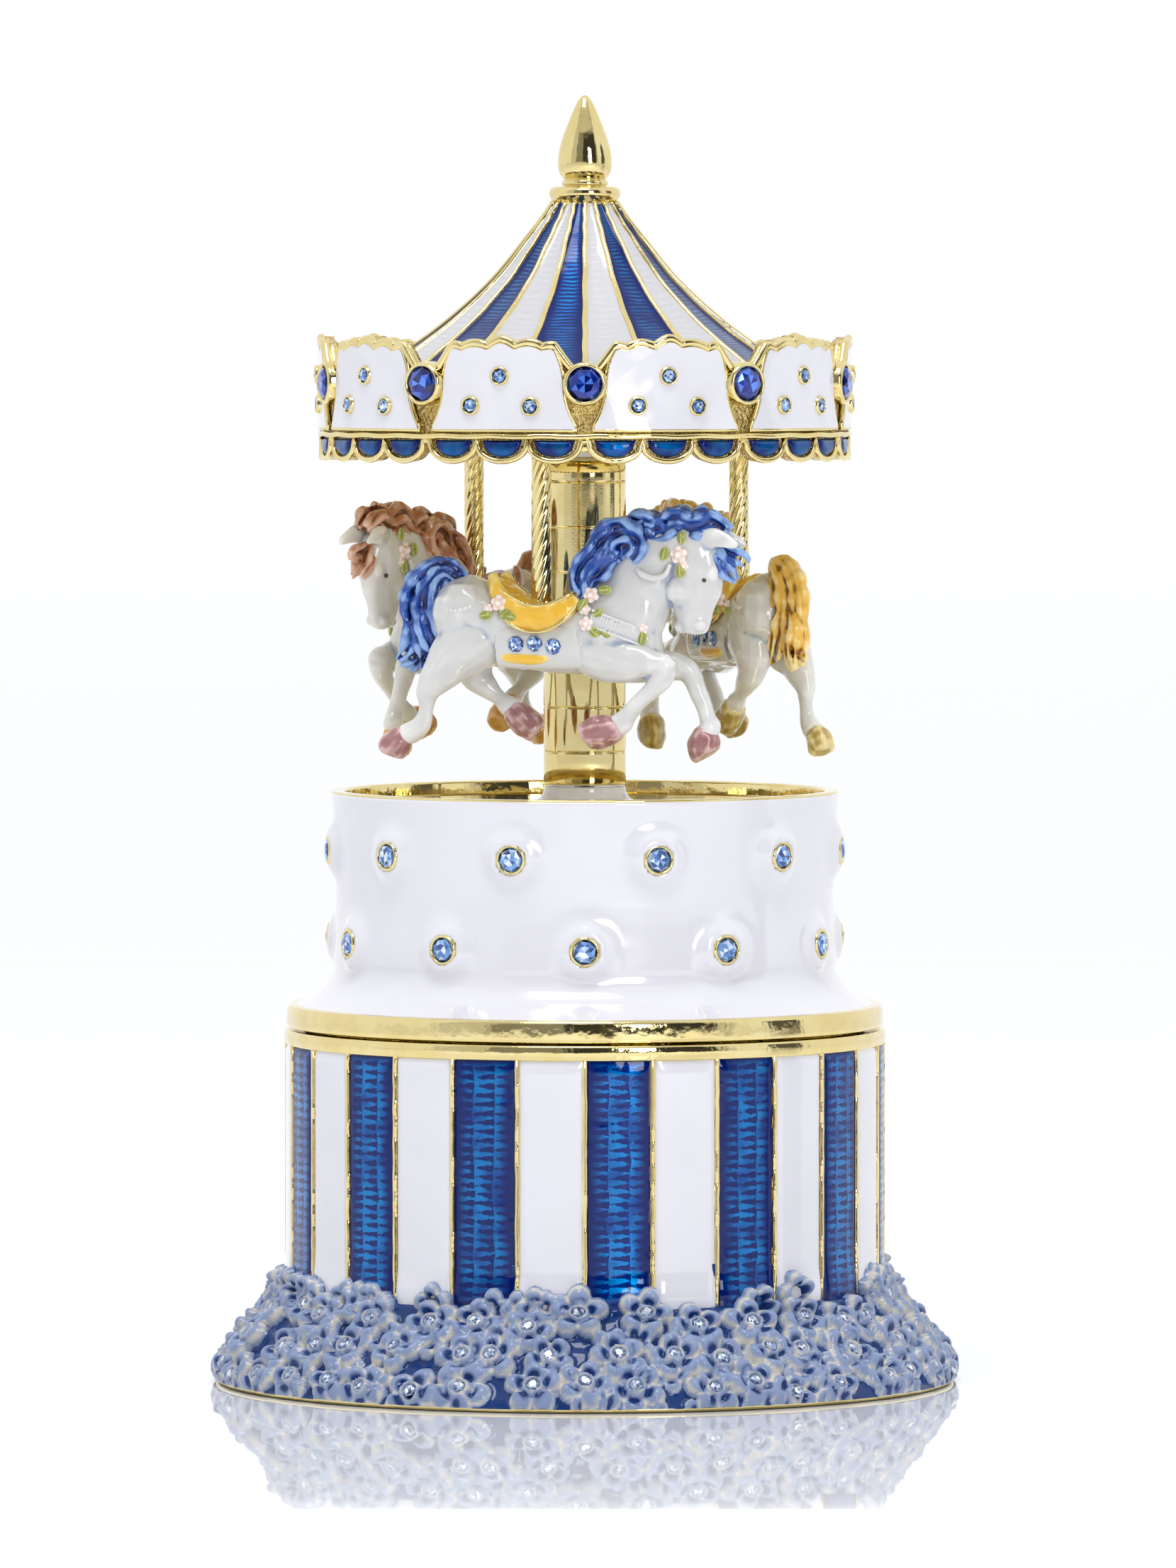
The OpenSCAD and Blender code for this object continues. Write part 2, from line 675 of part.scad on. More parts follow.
// outline of the crown: panel peaks above, three scallops a panel below
panel_pitch = 360 / crown_panels;
scallops = 3;
scallop_pitch = panel_pitch * 0.315;
function in_panel(a) = (a - floor(a / panel_pitch) * panel_pitch) - panel_pitch / 2;
function shoulder(v) = v < 0.12 ? 1 - 0.09 * v / 0.12 : v < 0.5 ? 0.91 +
  0.02 * sin((v - 0.12) / 0.38 * 180) - 0.04 * (v - 0.12) / 0.38
  : v < 0.82 ? 0.87 - 0.26 * pow((v - 0.5) / 0.32, 1.6) : 0.61;
function crown_top(a) = band_z + panel_h * shoulder(abs(in_panel(a)) / (panel_pitch / 2));
function scallop_drop(v) = abs(v) > 1 ? 0 : sqrt(1 - v * v);
function crown_bottom(a) = band_z - 0.7 - (scallop_h - 0.7) * max([for (k = [-1:1])
  scallop_drop((in_panel(a) - k * scallop_pitch) / (scallop_pitch * 0.53))]);

// a closed wall round the axis between two outlines
crown_steps = 200;
module crown_ring() {
  rings = [for (i = [0:crown_steps - 1]) let (a = i * 360 / crown_steps, t = crown_top(a),
    b = crown_bottom(a)) each [
    [crown_in_r * cos(a - 90), crown_in_r * sin(a - 90), b], [crown_r * cos(a - 90),
      crown_r * sin(a - 90), b],
    [crown_r * cos(a - 90), crown_r * sin(a - 90), t], [crown_in_r * cos(a - 90),
      crown_in_r * sin(a - 90), t]]];
  color(gold) polyhedron(rings, [for (i = [0:crown_steps - 1]) for (k = [0:3])
    [4 * i + k, 4 * i + (k + 1) % 4, 4 * ((i + 1) % crown_steps) + (k + 1) % 4, 4 * ((i +
      1) % crown_steps) + k]]);
}

// a thin curved plate on the crown's face between two outlines, from one angle to another
module crown_plate(from, to, steps, low, high, lift, thick) {
  points = [for (i = [0:steps]) let (a = from + (to - from) * i / steps) for (r = [crown_r + lift,
    crown_r + lift + thick])
    for (z = [low[i], high[i]]) [r * cos(a - 90), r * sin(a - 90), z]];
  polyhedron(points, concat(
    [[0, 1, 3, 2]], [[4 * steps + 2, 4 * steps + 3, 4 * steps + 1, 4 * steps]],
    [for (i = [0:steps - 1]) for (q = [[0, 4, 5, 1], [1, 5, 7, 3], [3, 7, 6, 2], [2, 6, 4,
      0]]) [for (k = q) 4 * i + k]]
  ));
}

plate_steps = 16;
border = 0.75;
module crown_enamel() {
  half = panel_pitch * 0.5 - 2.3;
  color(pale) for (p = [0:crown_panels - 1]) {
    middle = (p + 0.5) * panel_pitch;
    angles = [for (i = [0:plate_steps]) middle - half + 2 * half * i / plate_steps];
    tops = [for (a = angles) let (v = abs(a - middle) / half)
      min(crown_top(a) - border, band_z + 0.5 + panel_h * (v > 0.72 ? 0.62 * pow((1.001 - v) / 0.28,
        0.75) : 1))];
    crown_plate(middle - half, middle + half, plate_steps, [for (a = angles) band_z + 0.45], tops,
      fit_gap, 0.35);
  }
}

module scallop_enamel() {
  steps = 6;
  half = scallop_pitch * 0.34;
  color(royal) for (p = [0:crown_panels - 1]) for (k = [-1:1]) {
    middle = (p + 0.5) * panel_pitch + k * scallop_pitch;
    lows = [for (i = [0:steps]) band_z - 0.5 - (scallop_h - 1.5) * sqrt(1.02 - pow(2 * i / steps - 1, 2))];
    crown_plate(middle - half, middle + half, steps, lows, [for (i = [0:steps]) band_z - 0.5], fit_gap,
      0.3);
  }
}

gem_z = band_z + 7.0;
module crown_gem_settings() {
  color(gold) for (i = [0:crown_panels - 1]) outward(-90 + i * panel_pitch, crown_r + 1.5, gem_z)
    setting(gem_r, 0.6, 1.4);
}

module crown_gems() {
  color("darkblue") for (i = [0:crown_panels - 1])
    outward(-90 + i * panel_pitch, crown_r + 1.5, gem_z) translate([0, 0, fit_gap * 6]) stone(gem_r * 0.95);
}

// three stones on each panel: one above, two below
module each_crown_stone() {
  for (p = [0:crown_panels - 1]) for (s = [[-6.2, 4.2], [0, 8.1], [6.2, 4.2]])
    outward(-90 + (p + 0.5) * panel_pitch + s[0] * 36 / crown_panels * 0.278, crown_r + 0.42, band_z +
      s[1]) children();
}

module crown_crystal_settings() {
  color(gold) each_crown_stone() difference() {
    cylinder(r = crown_stone_r + 0.4, h = 0.45);
    translate([0, 0, 0.1]) cylinder(r = crown_stone_r + fit_gap, h = 1);
  }
}

module crown_crystals() {
  color(ice) each_crown_stone() translate([0, 0, 0.1 + fit_gap]) cylinder(r1 = crown_stone_r,
    r2 = crown_stone_r * 0.6, h = 0.6);
}

// concave tent roof
enamel_bed = 0.06;      // room under the roof's enamel
roof_steps = 14;
roof_t = 1.2;
roof_power = 1.6;
function roof_u(k) = pow(k / roof_steps, 1.3);
function roof_at(u, lift) = [roof_in_r + (roof_out_r - roof_in_r) * u + lift * 0.6, roof_z +
  roof_h * pow(1 - u, roof_power) + lift * 0.8];
module roof_strip(low, high, last = 1) {
  polygon(concat([for (k = [0:roof_steps]) roof_at(roof_u(k) * last, low)],
                 [for (k = [roof_steps:-1:0]) roof_at(roof_u(k) * last, high)]));
}

module roof_blade(turn, width, low, high) {
  rotate([0, 0, turn]) translate([0, width / 2, 0]) rotate([90, 0, 0]) linear_extrude(width)
    roof_strip(low, high);
}

module roof_casting() {
  color(gold) union() {
    rotate_extrude() roof_strip(-roof_t, 0);
    for (i = [0:2 * crown_panels - 1]) roof_blade(-90 + i * panel_pitch / 2, 0.8, -0.4, 0.55);
  }
}

module roof_enamel(first) {
  for (i = [first:2:2 * crown_panels - 1]) difference() {
    rotate([0, 0, -90 + i * panel_pitch / 2 + 0.05]) rotate_extrude(angle = panel_pitch / 2 - 0.1)
      roof_strip(enamel_bed, 0.4, 0.985);
    for (side = [0, 1]) roof_blade(-90 + (i + side) * panel_pitch / 2, 0.8 + 2 * fit_gap, -1, 2);
  }
}

module blue_roof_enamel() { color(royal) roof_enamel(1); }
module white_roof_enamel() { color(pale) roof_enamel(0); }

module finial() {
  bulb = finial_h - 4;
  color(gold) difference() {
    rotate_extrude() polygon(concat(
      [[0, roof_top + 0.6], [roof_in_r + 0.1, roof_top + 0.6], [4.9, roof_top + 1.6], [4.9, roof_top +
        2.2], [4.2, roof_top + 2.8], [3, roof_top + 3],
       [3.3, roof_top + 3.5], [3.0, roof_top + 4]],
      [for (k = [0:14]) let (v = k / 14) [3.85 * sin(60 + 120 * pow(v, 0.9)) * (1 - 0.3 * v * v) +
        (k == 14 ? 0 : 0.05),
        roof_top + 4 + bulb * v]]
    ));
    translate([0, 0, roof_top]) cylinder(r = spindle_r + fit_gap, h = 7.1);
  }
}

// ---- poles and horses ----

// the horses behind the first are turned a little on their poles
horse_swing = 10;
module at_horse(i) {
  rotate([0, 0, first_horse_turn + i * 360 / horses]) translate([0, -orbit_r, saddle_z])
    rotate([0, 0, i == 0 ? 0 : horse_swing]) children();
}

rope_lobes = 4;
module poles() {
  color(gold) for (i = [0:horses - 1]) at_horse(i) {
    translate([0, 0, 0.2]) linear_extrude(pole_l - ceiling_t - 0.25, twist = -540, slices = 20, $fn = 12)
      polygon([for (a = [0:30:330]) pole_r * (0.93 + 0.07 * cos(rope_lobes * a)) * [cos(a), sin(a)]]);
    translate([0, 0, pole_l - ceiling_t - 0.3]) cylinder(r = pole_r - 0.4, h = ceiling_t + 0.3);
  }
}

// one bone of a horse: two balls and the skin between them, as [x, y, z, radius]
module limb(a, b) {
  hull() {
    translate([a[0], a[1], a[2]]) sphere(r = a[3]);
    translate([b[0], b[1], b[2]]) sphere(r = b[3]);
  }
}

module limbs(balls) {
  for (k = [0:len(balls) - 2]) limb(balls[k], balls[k + 1]);
}

module horse_body() {
  $fn = 8;
  scale([1, 0.78, 1]) limbs([[-12.4, 0, 0.6, 6.9], [-3, 0, -2.2, 5.4], [7.6, 0, -1.8, 6.6], [12.6, 0,
    4.4, 5], [17, 0, 10.3, 3.9], [21.6, 0, 11.2, 3]]);
  limbs([[21.4, 0, 10.8, 2.9], [21.2, 0, 6.4, 2.4], [22, 0, 1.4, 1.7]]);
  limb([23.2, 1.5, 13.4, 0.9], [26.4, 2.6, 13.6, 0.5]);
  limb([23.2, -1.5, 13.4, 0.9], [26.4, -2.6, 13.6, 0.5]);
  limbs([[10.6, -2.6, -4, 3.6], [18.4, -2.9, -4.8, 2.2], [13.4, -3, -12.4, 1.5], [10.2, -3, -14.6, 1.9]]);
  limbs([[11.6, 2.6, -4, 3.4], [19.8, 2.9, -6.4, 1.9], [22.2, 3, -13.4, 1.5], [22.8, 3, -16.6, 1.9]]);
  limbs([[-13, -2.4, -2.4, 4.4], [-15.8, -3, -9.8, 2.1], [-18, -3, -14.6, 1.5], [-20.6, -3, -16.4, 1.8]]);
  limbs([[-11, 2.4, -3.6, 4.2], [-7.6, 3, -8.8, 2.2], [-4.6, 3, -12, 1.5], [-2, 3, -14.2, 1.9]]);
}

module horse_hair() {
  $fn = 10;
  scale([1, 0.6, 1]) limbs([[6.9, 0, 5.3, 1.6], [9.1, 0, 9.3, 2.3], [12.6, 0, 12.2, 2.4], [16.8, 0,
    14.2, 2.1], [21.6, 0, 14.9, 1.7], [25.6, 0, 14.2, 1.2], [27.6, 0, 10.2, 1.3]]);
  scale([1, 0.8, 1]) limbs([[-16.2, 0, 6.4, 1.6], [-19, 0, 4, 2.2], [-20.2, 0, -1.6, 2.4], [-19.4, 0,
    -6, 1.4]]);
}

module horse(i) {
  if (i < horses) color("white") difference() {
    at_horse(i) scale(horse_size) horse_body();
    at_horse(i) scale(horse_size) union() { saddle_solid(); horse_hair(); }
    at_horse(i) translate([0, 0, -1]) cylinder(r = pole_r + 0.1, h = 12);
  }
}

module hair(i) {
  if (i < horses) color(["cornflowerblue", "sandybrown", "rosybrown"][i]) at_horse(i)
    scale(horse_size) horse_hair();
}

module saddle_solid() {
  rotate([90, 0, 0]) translate([0, 0, -5]) linear_extrude(10) polygon([[-7.4, 7.6], [-6.4, 8.4], [-5,
    5.4], [-1.6, 2.6], [3, 2.6], [6, 4.4], [6.8, 3], [3.2, 0.4], [-2.2, 0.2], [-6.4, 3.4]]);
}

module saddles() {
  color("goldenrod") for (i = [0:horses - 1]) difference() {
    at_horse(i) scale(horse_size) saddle_solid();
    at_horse(i) translate([0, 0, -1]) cylinder(r = pole_r + 0.1, h = 12);
  }
}

module saddle_crystals() {
  color(ice) for (i = [0:horses - 1]) at_horse(i) scale(horse_size) for (k = [-1:1]) for (side = [-1, 1])
    translate([0.6 + k * 2.6, side * 5, -3.4]) rotate([-side * 90, 0, 0]) cylinder(r1 = 1.15, r2 = 0.7,
      h = 0.9);
}

// ---- turning parts of the movement ----

module cylinder_assembly_arbor() {
  along_x(crown_mid_r - 1.6, 0, axis_z) cylinder(r = arbor_r, h = rear_post_x + 1.3 - crown_mid_r + 1.6);
}

module pinned_cylinder() {
  color(brass) union() {
    cylinder_assembly_arbor();
    along_x(crown_mid_r - 0.8, 0, axis_z) rotate([0, 0, 90 + 180 / pinion_teeth]) gear(pinion_teeth,
      mod, 1.6, 0.2);
    along_x(end_wheel_x, 0, axis_z) rotate([0, 0, 180 / end_teeth]) gear(end_teeth, end_mod,
      end_wheel_t, 0.14);
    along_x(cylinder_x, 0, axis_z) cylinder(r = cylinder_r, h = cylinder_l);
  }
}

pins_a_note = 5;
module cylinder_pins() {
  color(steel) for (n = [0:notes - 1]) for (k = [0:pins_a_note - 1])
    translate([cylinder_x + (n + 0.5) * cylinder_l / notes, 0, axis_z])
      rotate([(n * 137.5 + k * 360 / pins_a_note + 23 * sin(n * 77 + k * 51)) % 360, 0, 0])
        translate([0, 0, cylinder_r + fit_gap]) cylinder(r = 0.15, h = pin_h, $fn = 16);
}

module governor_wheel() {
  color(brass) union() {
    along_x(end_wheel_x - 0.4, gov_y, axis_z) cylinder(r = arbor_r * 0.7, h = worm_x +
      2.4 - end_wheel_x + 0.4);
    along_x(end_wheel_x - 0.2, gov_y, axis_z) rotate([0, 0, 180]) gear(gov_pinion_teeth, end_mod,
      end_wheel_t + 0.4, 0.14);
    along_x(worm_wheel_x, gov_y, axis_z) gear(worm_teeth, worm_mod, worm_wheel_t, 0.36, 0.7);
  }
}

worm_lead = 2 * PI * worm_mod;
module governor_worm() {
  color(steel) translate([worm_x, worm_y, 0]) {
    translate([0, 0, axis_z - worm_lead * 1.25]) rotate([0, 0, -450]) linear_extrude(worm_lead * 2.5,
      twist = -900, slices = 30, $fn = 12)
      polygon([for (a = [0:20:340]) (worm_r + 0.45 * cos(2 * a)) * [cos(a), sin(a)]]);
    translate([0, 0, worm_bottom - 1]) cylinder(r = 0.6, h = fan_z + fan_h + 2 - worm_bottom + 1);
    translate([-0.15, -fan_r, fan_z]) cube([0.3, 2 * fan_r, fan_h]);
  }
}

drum_casting();
blue_stripe_enamel();
white_stripe_enamel();
flower_border();
flowers();
flower_crystals();
base_plate();
base_plate_screws();
turntable_washer();
movement_bedplate();
movement_pillars();
movement_screws();
bridge_posts();
movement_bridge();
clutch_spring();
front_bearing_plate();
rear_bearing_post();
governor_bracket();
comb_seat();
comb();
comb_screws();
tier_casting();
tier_enamel();
tier_crystal_settings();
tier_crystals();
tier_floor();
column_foot_bush();
drive_spider();
spider_screws();
winding_sleeve();
spindle();
spring_barrel();
mainspring();
column();
column_hubs();
canopy_ceiling();
crown_ring();
crown_enamel();
scallop_enamel();
crown_gem_settings();
crown_gems();
crown_crystal_settings();
crown_crystals();
roof_casting();
blue_roof_enamel();
white_roof_enamel();
finial();
poles();
horse(0);  // horse_1
horse(1);  // horse_2
horse(2);  // horse_3
hair(0);  // horse_1_hair
hair(1);  // horse_2_hair
hair(2);  // horse_3_hair
saddles();
saddle_crystals();
pinned_cylinder();
cylinder_pins();
governor_wheel();
governor_worm();
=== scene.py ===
"""Carousel music box: its finishes, cast and enamelled pieces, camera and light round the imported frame.

Lengths in the classes are millimetres. A piece is scaled to metres when it is settled on its body.
Angles round the axis start at the front and grow towards the right, and the front is -Y.
"""
from __future__ import annotations

import json
import logging
import math
import sys
from dataclasses import dataclass, field
from enum import Enum
from functools import cached_property
from typing import Callable, Iterable, Sequence

import bmesh
import bpy
import numpy as np
from mathutils import Matrix, Vector, noise

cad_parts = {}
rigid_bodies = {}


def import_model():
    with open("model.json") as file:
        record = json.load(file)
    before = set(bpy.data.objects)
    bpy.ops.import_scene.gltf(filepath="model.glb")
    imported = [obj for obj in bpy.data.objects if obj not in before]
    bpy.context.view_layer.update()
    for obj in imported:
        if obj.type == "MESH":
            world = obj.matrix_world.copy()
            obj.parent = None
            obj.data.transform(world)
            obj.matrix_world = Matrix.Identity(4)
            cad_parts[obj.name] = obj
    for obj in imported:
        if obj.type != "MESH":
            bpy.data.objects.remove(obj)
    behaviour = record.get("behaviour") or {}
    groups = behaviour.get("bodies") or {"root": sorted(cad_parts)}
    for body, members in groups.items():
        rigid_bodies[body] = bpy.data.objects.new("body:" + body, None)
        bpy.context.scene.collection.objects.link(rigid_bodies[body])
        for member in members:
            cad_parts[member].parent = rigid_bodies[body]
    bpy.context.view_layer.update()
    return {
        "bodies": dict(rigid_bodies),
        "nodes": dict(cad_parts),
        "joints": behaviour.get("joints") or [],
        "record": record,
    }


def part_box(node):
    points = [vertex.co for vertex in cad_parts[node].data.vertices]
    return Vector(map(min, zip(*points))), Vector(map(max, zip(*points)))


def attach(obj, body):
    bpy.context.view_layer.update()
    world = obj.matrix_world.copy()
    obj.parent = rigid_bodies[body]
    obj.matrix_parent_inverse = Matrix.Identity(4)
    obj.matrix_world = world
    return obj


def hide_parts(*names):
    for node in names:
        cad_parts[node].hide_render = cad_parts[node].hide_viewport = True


log = logging.getLogger("carousel")
MM = 0.001
TAU = 2 * math.pi
Point = tuple[float, float]
Colour = tuple[float, float, float]
Key = tuple[float, ...]
Shape = bmesh.types.BMesh
Mesh = bpy.types.Mesh
Socket = bpy.types.NodeSocket
Node = bpy.types.Node


# ---------------------------------------------------------------- node trees

class Tree:
    """Adds nodes to a shader or group tree and joins them up."""

    def __init__(self, tree: bpy.types.NodeTree) -> None:
        """Starts on an empty tree."""
        self.tree = tree
        self.tree.nodes.clear()

    def add(self, kind: str, inputs: dict | None = None, **settings: object) -> Node:
        """Adds one node.

        Args:
            kind: the node's type name.
            inputs: socket names or numbers, each with a value or the socket that feeds it.
            settings: attributes of the node.

        Returns:
            The node.
        """
        made = self.tree.nodes.new(kind)
        for name, value in settings.items():
            setattr(made, name, value)
        for socket, value in (inputs or {}).items():
            self.feed(made.inputs[socket], value)
        return made

    def feed(self, socket: Socket, value: object) -> None:
        """Fills a socket.

        Args:
            socket: the socket.
            value: its value, or the socket that feeds it.
        """
        if isinstance(value, Socket):
            self.tree.links.new(value, socket)
            return
        if socket.type == "RGBA" and len(value) == 3:
            value = (*value, 1.0)
        socket.default_value = value

    def math(self, operation: str, *values: object) -> Socket:
        """Works out one number from up to three."""
        return self.add("ShaderNodeMath", dict(enumerate(values)), operation=operation).outputs[0]

    def mix(self, share: object, first: object, second: object) -> Socket:
        """Mixes two colours by a share from 0 to 1."""
        return self.add("ShaderNodeMix", {0: share, 6: first, 7: second}, data_type="RGBA").outputs[2]

    def ramp(self, value: object, low: float, high: float, smooth: bool = True) -> Socket:
        """Turns a number between low and high into one from 0 to 1."""
        kind = "SMOOTHSTEP" if smooth else "LINEAR"
        return self.add("ShaderNodeMapRange", {0: value, 1: low, 2: high}, interpolation_type=kind).outputs[0]

    def between(self, share: object, first: object, last: object) -> Socket:
        """Turns a number from 0 to 1 into one from first to last."""
        return self.add("ShaderNodeMapRange", {0: share, 3: first, 4: last}).outputs[0]

    def swing(self, value: object, size: object) -> Socket:
        """Turns a number round 0.5 into one round 0, times size."""
        return self.math("MULTIPLY", self.math("SUBTRACT", value, 0.5), size)

    def place(self) -> Socket:
        """Where the shaded point is on the piece, in metres."""
        return self.add("ShaderNodeTexCoord").outputs["Object"]

    def mark(self, name: str) -> Socket:
        """A number that the piece's mesh holds under a name."""
        return self.add("ShaderNodeAttribute", attribute_name=name).outputs["Fac"]

    def drift(self, size: object, detail: float = 2.0) -> Socket:
        """A number round 0.5 that changes over the piece, size times a metre."""
        made = self.add("ShaderNodeTexNoise", {"Vector": self.place(), "Scale": size, "Detail": detail})
        return made.outputs["Fac"]

    def waves(self, wave_size: object, wave: object, grain_size: object, grain: object) -> Socket:
        """Bumps a surface with slow waves and fine pits.

        Args:
            wave_size: waves to the metre.
            wave: how strong they are.
            grain_size: pits to the metre.
            grain: how strong they are.

        Returns:
            The surface's normal.
        """
        kind = "ShaderNodeBump"
        slow = self.add(kind, {"Height": self.drift(wave_size), "Strength": wave, "Distance": 0.001})
        fine = self.add(kind, {"Height": self.drift(grain_size, 3.0), "Strength": grain, "Distance": 0.0003,
                               "Normal": slow.outputs[0]})
        return fine.outputs[0]


class Effects:
    """The effects that several finishes share, each a node group built once."""

    def group(self, name: str, inputs: dict[str, object], outputs: dict[str, str]) -> tuple[Tree, Node, Node]:
        """Starts a group with named sockets.

        Args:
            name: the group's name.
            inputs: each socket's value at rest, a number or a colour.
            outputs: each socket's type.

        Returns:
            The tree, its input node and its output node.
        """
        tree = bpy.data.node_groups.new(name, "ShaderNodeTree")
        for label, value in inputs.items():
            colour = isinstance(value, tuple)
            socket = tree.interface.new_socket(name=label, in_out="INPUT",
                                               socket_type="NodeSocketColor" if colour else "NodeSocketFloat")
            socket.default_value = (*value, 1.0) if colour else value
        for label, kind in outputs.items():
            tree.interface.new_socket(name=label, in_out="OUTPUT", socket_type=kind)
        kit = Tree(tree)
        return kit, kit.add("NodeGroupInput"), kit.add("NodeGroupOutput")

    @cached_property
    def cast_surface(self) -> bpy.types.NodeTree:
        """The slow waves and fine pits of a cast or fired surface, as a normal."""
        kit, into, out = self.group("cast surface", {"Wave size": 300.0, "Wave": 0.2, "Grain size": 3000.0,
                                                     "Grain": 0.05}, {"Normal": "NodeSocketVector"})
        kit.feed(out.inputs["Normal"], kit.waves(*(into.outputs[k] for k in range(4))))
        return kit.tree

    @cached_property
    def relief_shade_paint(self) -> bpy.types.NodeTree:
        """Colour from the mesh's own relief: painted shade in the hollows, where translucent enamel also pools
        deeper, and a paler colour on the edges, partly a painted highlight.
        """
        kit, into, out = self.group("relief shade paint", {
            "Edge": (1.0, 1.0, 1.0), "Face": (0.8, 0.8, 0.8), "Hollow shade": (0.1, 0.1, 0.1), "Depth": 1.0,
            "Mottle": 0.3, "Mottle size": 900.0}, {"Color": "NodeSocketColor"})
        spread = kit.swing(kit.drift(into.outputs["Mottle size"], 3.0), into.outputs["Mottle"])
        relief = kit.math("ADD", kit.math("MULTIPLY", kit.mark("relief"), into.outputs["Depth"]), spread)
        # Painted shade: low relief marks darken towards the colour of the hollows; high ones pale towards the
        # edge colour, partly a painted highlight.
        low = kit.mix(kit.ramp(relief, -0.6, 0.05), into.outputs["Hollow shade"], into.outputs["Face"])
        kit.feed(out.inputs["Color"], kit.mix(kit.ramp(relief, 0.1, 0.8), low, into.outputs["Edge"]))
        return kit.tree

    @cached_property
    def colour_drift(self) -> bpy.types.NodeTree:
        """Slow change between two colours and two degrees of gloss over a piece."""
        kit, into, out = self.group("colour drift", {
            "First": (1.0, 1.0, 1.0), "Second": (0.8, 0.8, 0.8), "Size": 150.0, "Smoothest": 0.1,
            "Roughest": 0.2}, {"Color": "NodeSocketColor", "Roughness": "NodeSocketFloat"})
        share = kit.ramp(kit.drift(into.outputs["Size"], 4.0), 0.35, 0.65)
        kit.feed(out.inputs["Color"], kit.mix(share, into.outputs["First"], into.outputs["Second"]))
        gloss = kit.between(share, into.outputs["Smoothest"], into.outputs["Roughest"])
        kit.feed(out.inputs["Roughness"], gloss)
        return kit.tree


EFFECTS = Effects()
MATERIALS: dict[str, bpy.types.Material] = {}


# ---------------------------------------------------------------- finishes

@dataclass(frozen=True)
class Finish:
    """What every finish has: a name, and the plain values of its shader."""

    name: str
    metallic: float = 0.0
    coat: float = 0.0
    coat_roughness: float = 0.03
    specular: float = 0.5

    def material(self) -> bpy.types.Material:
        """The finish's material, made the first time that it is asked for."""
        if self.name not in MATERIALS:
            MATERIALS[self.name] = self.make()
        return MATERIALS[self.name]

    def make(self) -> bpy.types.Material:
        """Builds the material.

        Returns:
            The new material.
        """
        made = bpy.data.materials.new(self.name)
        made.use_nodes = True
        kit = Tree(made.node_tree)
        shader = kit.add("ShaderNodeBsdfPrincipled", {
            "Metallic": self.metallic, "Coat Weight": self.coat, "Coat Roughness": self.coat_roughness,
            "Specular IOR Level": self.specular})
        for socket, value in self.dress(kit).items():
            kit.feed(shader.inputs[socket], value)
        kit.add("ShaderNodeOutputMaterial", {"Surface": shader.outputs[0]})
        return made

    def dress(self, kit: Tree) -> dict[str, object]:
        """What varies over the surface, for the shader's sockets by name."""
        raise NotImplementedError

    def drifting(self, kit: Tree, colours: Sequence[Colour], size: float, gloss: Point) -> dict[str, object]:
        """A colour and a gloss that change slowly over the piece.

        Args:
            kit: the material's tree.
            colours: the two colours.
            size: changes to the metre.
            gloss: the smoothest and the roughest.

        Returns:
            What feeds the shader's colour and roughness.
        """
        made = kit.add("ShaderNodeGroup", {"First": colours[0], "Second": colours[1], "Size": size,
                                           "Smoothest": gloss[0], "Roughest": gloss[1]},
                       node_tree=EFFECTS.colour_drift)
        return {"Base Color": made.outputs["Color"], "Roughness": made.outputs["Roughness"]}

    def worked(self, kit: Tree, wave_size: float, wave: float, grain_size: float, grain: float) -> Socket:
        """The normal of a cast or fired surface."""
        return kit.add("ShaderNodeGroup", {"Wave size": wave_size, "Wave": wave, "Grain size": grain_size,
                                           "Grain": grain}, node_tree=EFFECTS.cast_surface).outputs["Normal"]


@dataclass(frozen=True)
class Plate(Finish):
    """Polished or satin metal, with slow changes in tone and gloss and a cast or brushed surface."""

    metallic: float = 1.0
    bright: Colour = (0.80, 0.68, 0.34)
    deep: Colour = (0.76, 0.62, 0.28)
    smoothest: float = 0.03
    roughest: float = 0.09
    wave: float = 0.1
    wave_size: float = 350.0
    grain: float = 0.02
    grain_size: float = 4000.0
    drift: float = 220.0

    def dress(self, kit: Tree) -> dict[str, object]:
        """Tone, gloss and the surface's waves."""
        tone = self.drifting(kit, (self.bright, self.deep), self.drift, (self.smoothest, self.roughest))
        return {**tone, "Normal": self.worked(kit, self.wave_size, self.wave, self.grain_size, self.grain)}


@dataclass(frozen=True)
class OpaqueEnamel(Finish):
    """Fired opaque enamel under its own gloss."""

    coat: float = 1.0
    coat_roughness: float = 0.02
    colour: Colour = (0.745, 0.74, 0.80)
    second: Colour = (0.73, 0.725, 0.78)
    wave: float = 0.12
    wave_size: float = 120.0
    drift: float = 90.0
    gloss: Point = (0.10, 0.18)

    def dress(self, kit: Tree) -> dict[str, object]:
        """A faint drift in tone and the slow waves of poured enamel."""
        tone = self.drifting(kit, (self.colour, self.second), self.drift, self.gloss)
        return {**tone, "Normal": self.worked(kit, self.wave_size, self.wave, 2500.0, 0.01)}


class Engraving(Enum):
    """How the ground under translucent enamel is cut."""

    TICKS = "ticks"
    LINES = "lines"
    PLAIN = "plain"


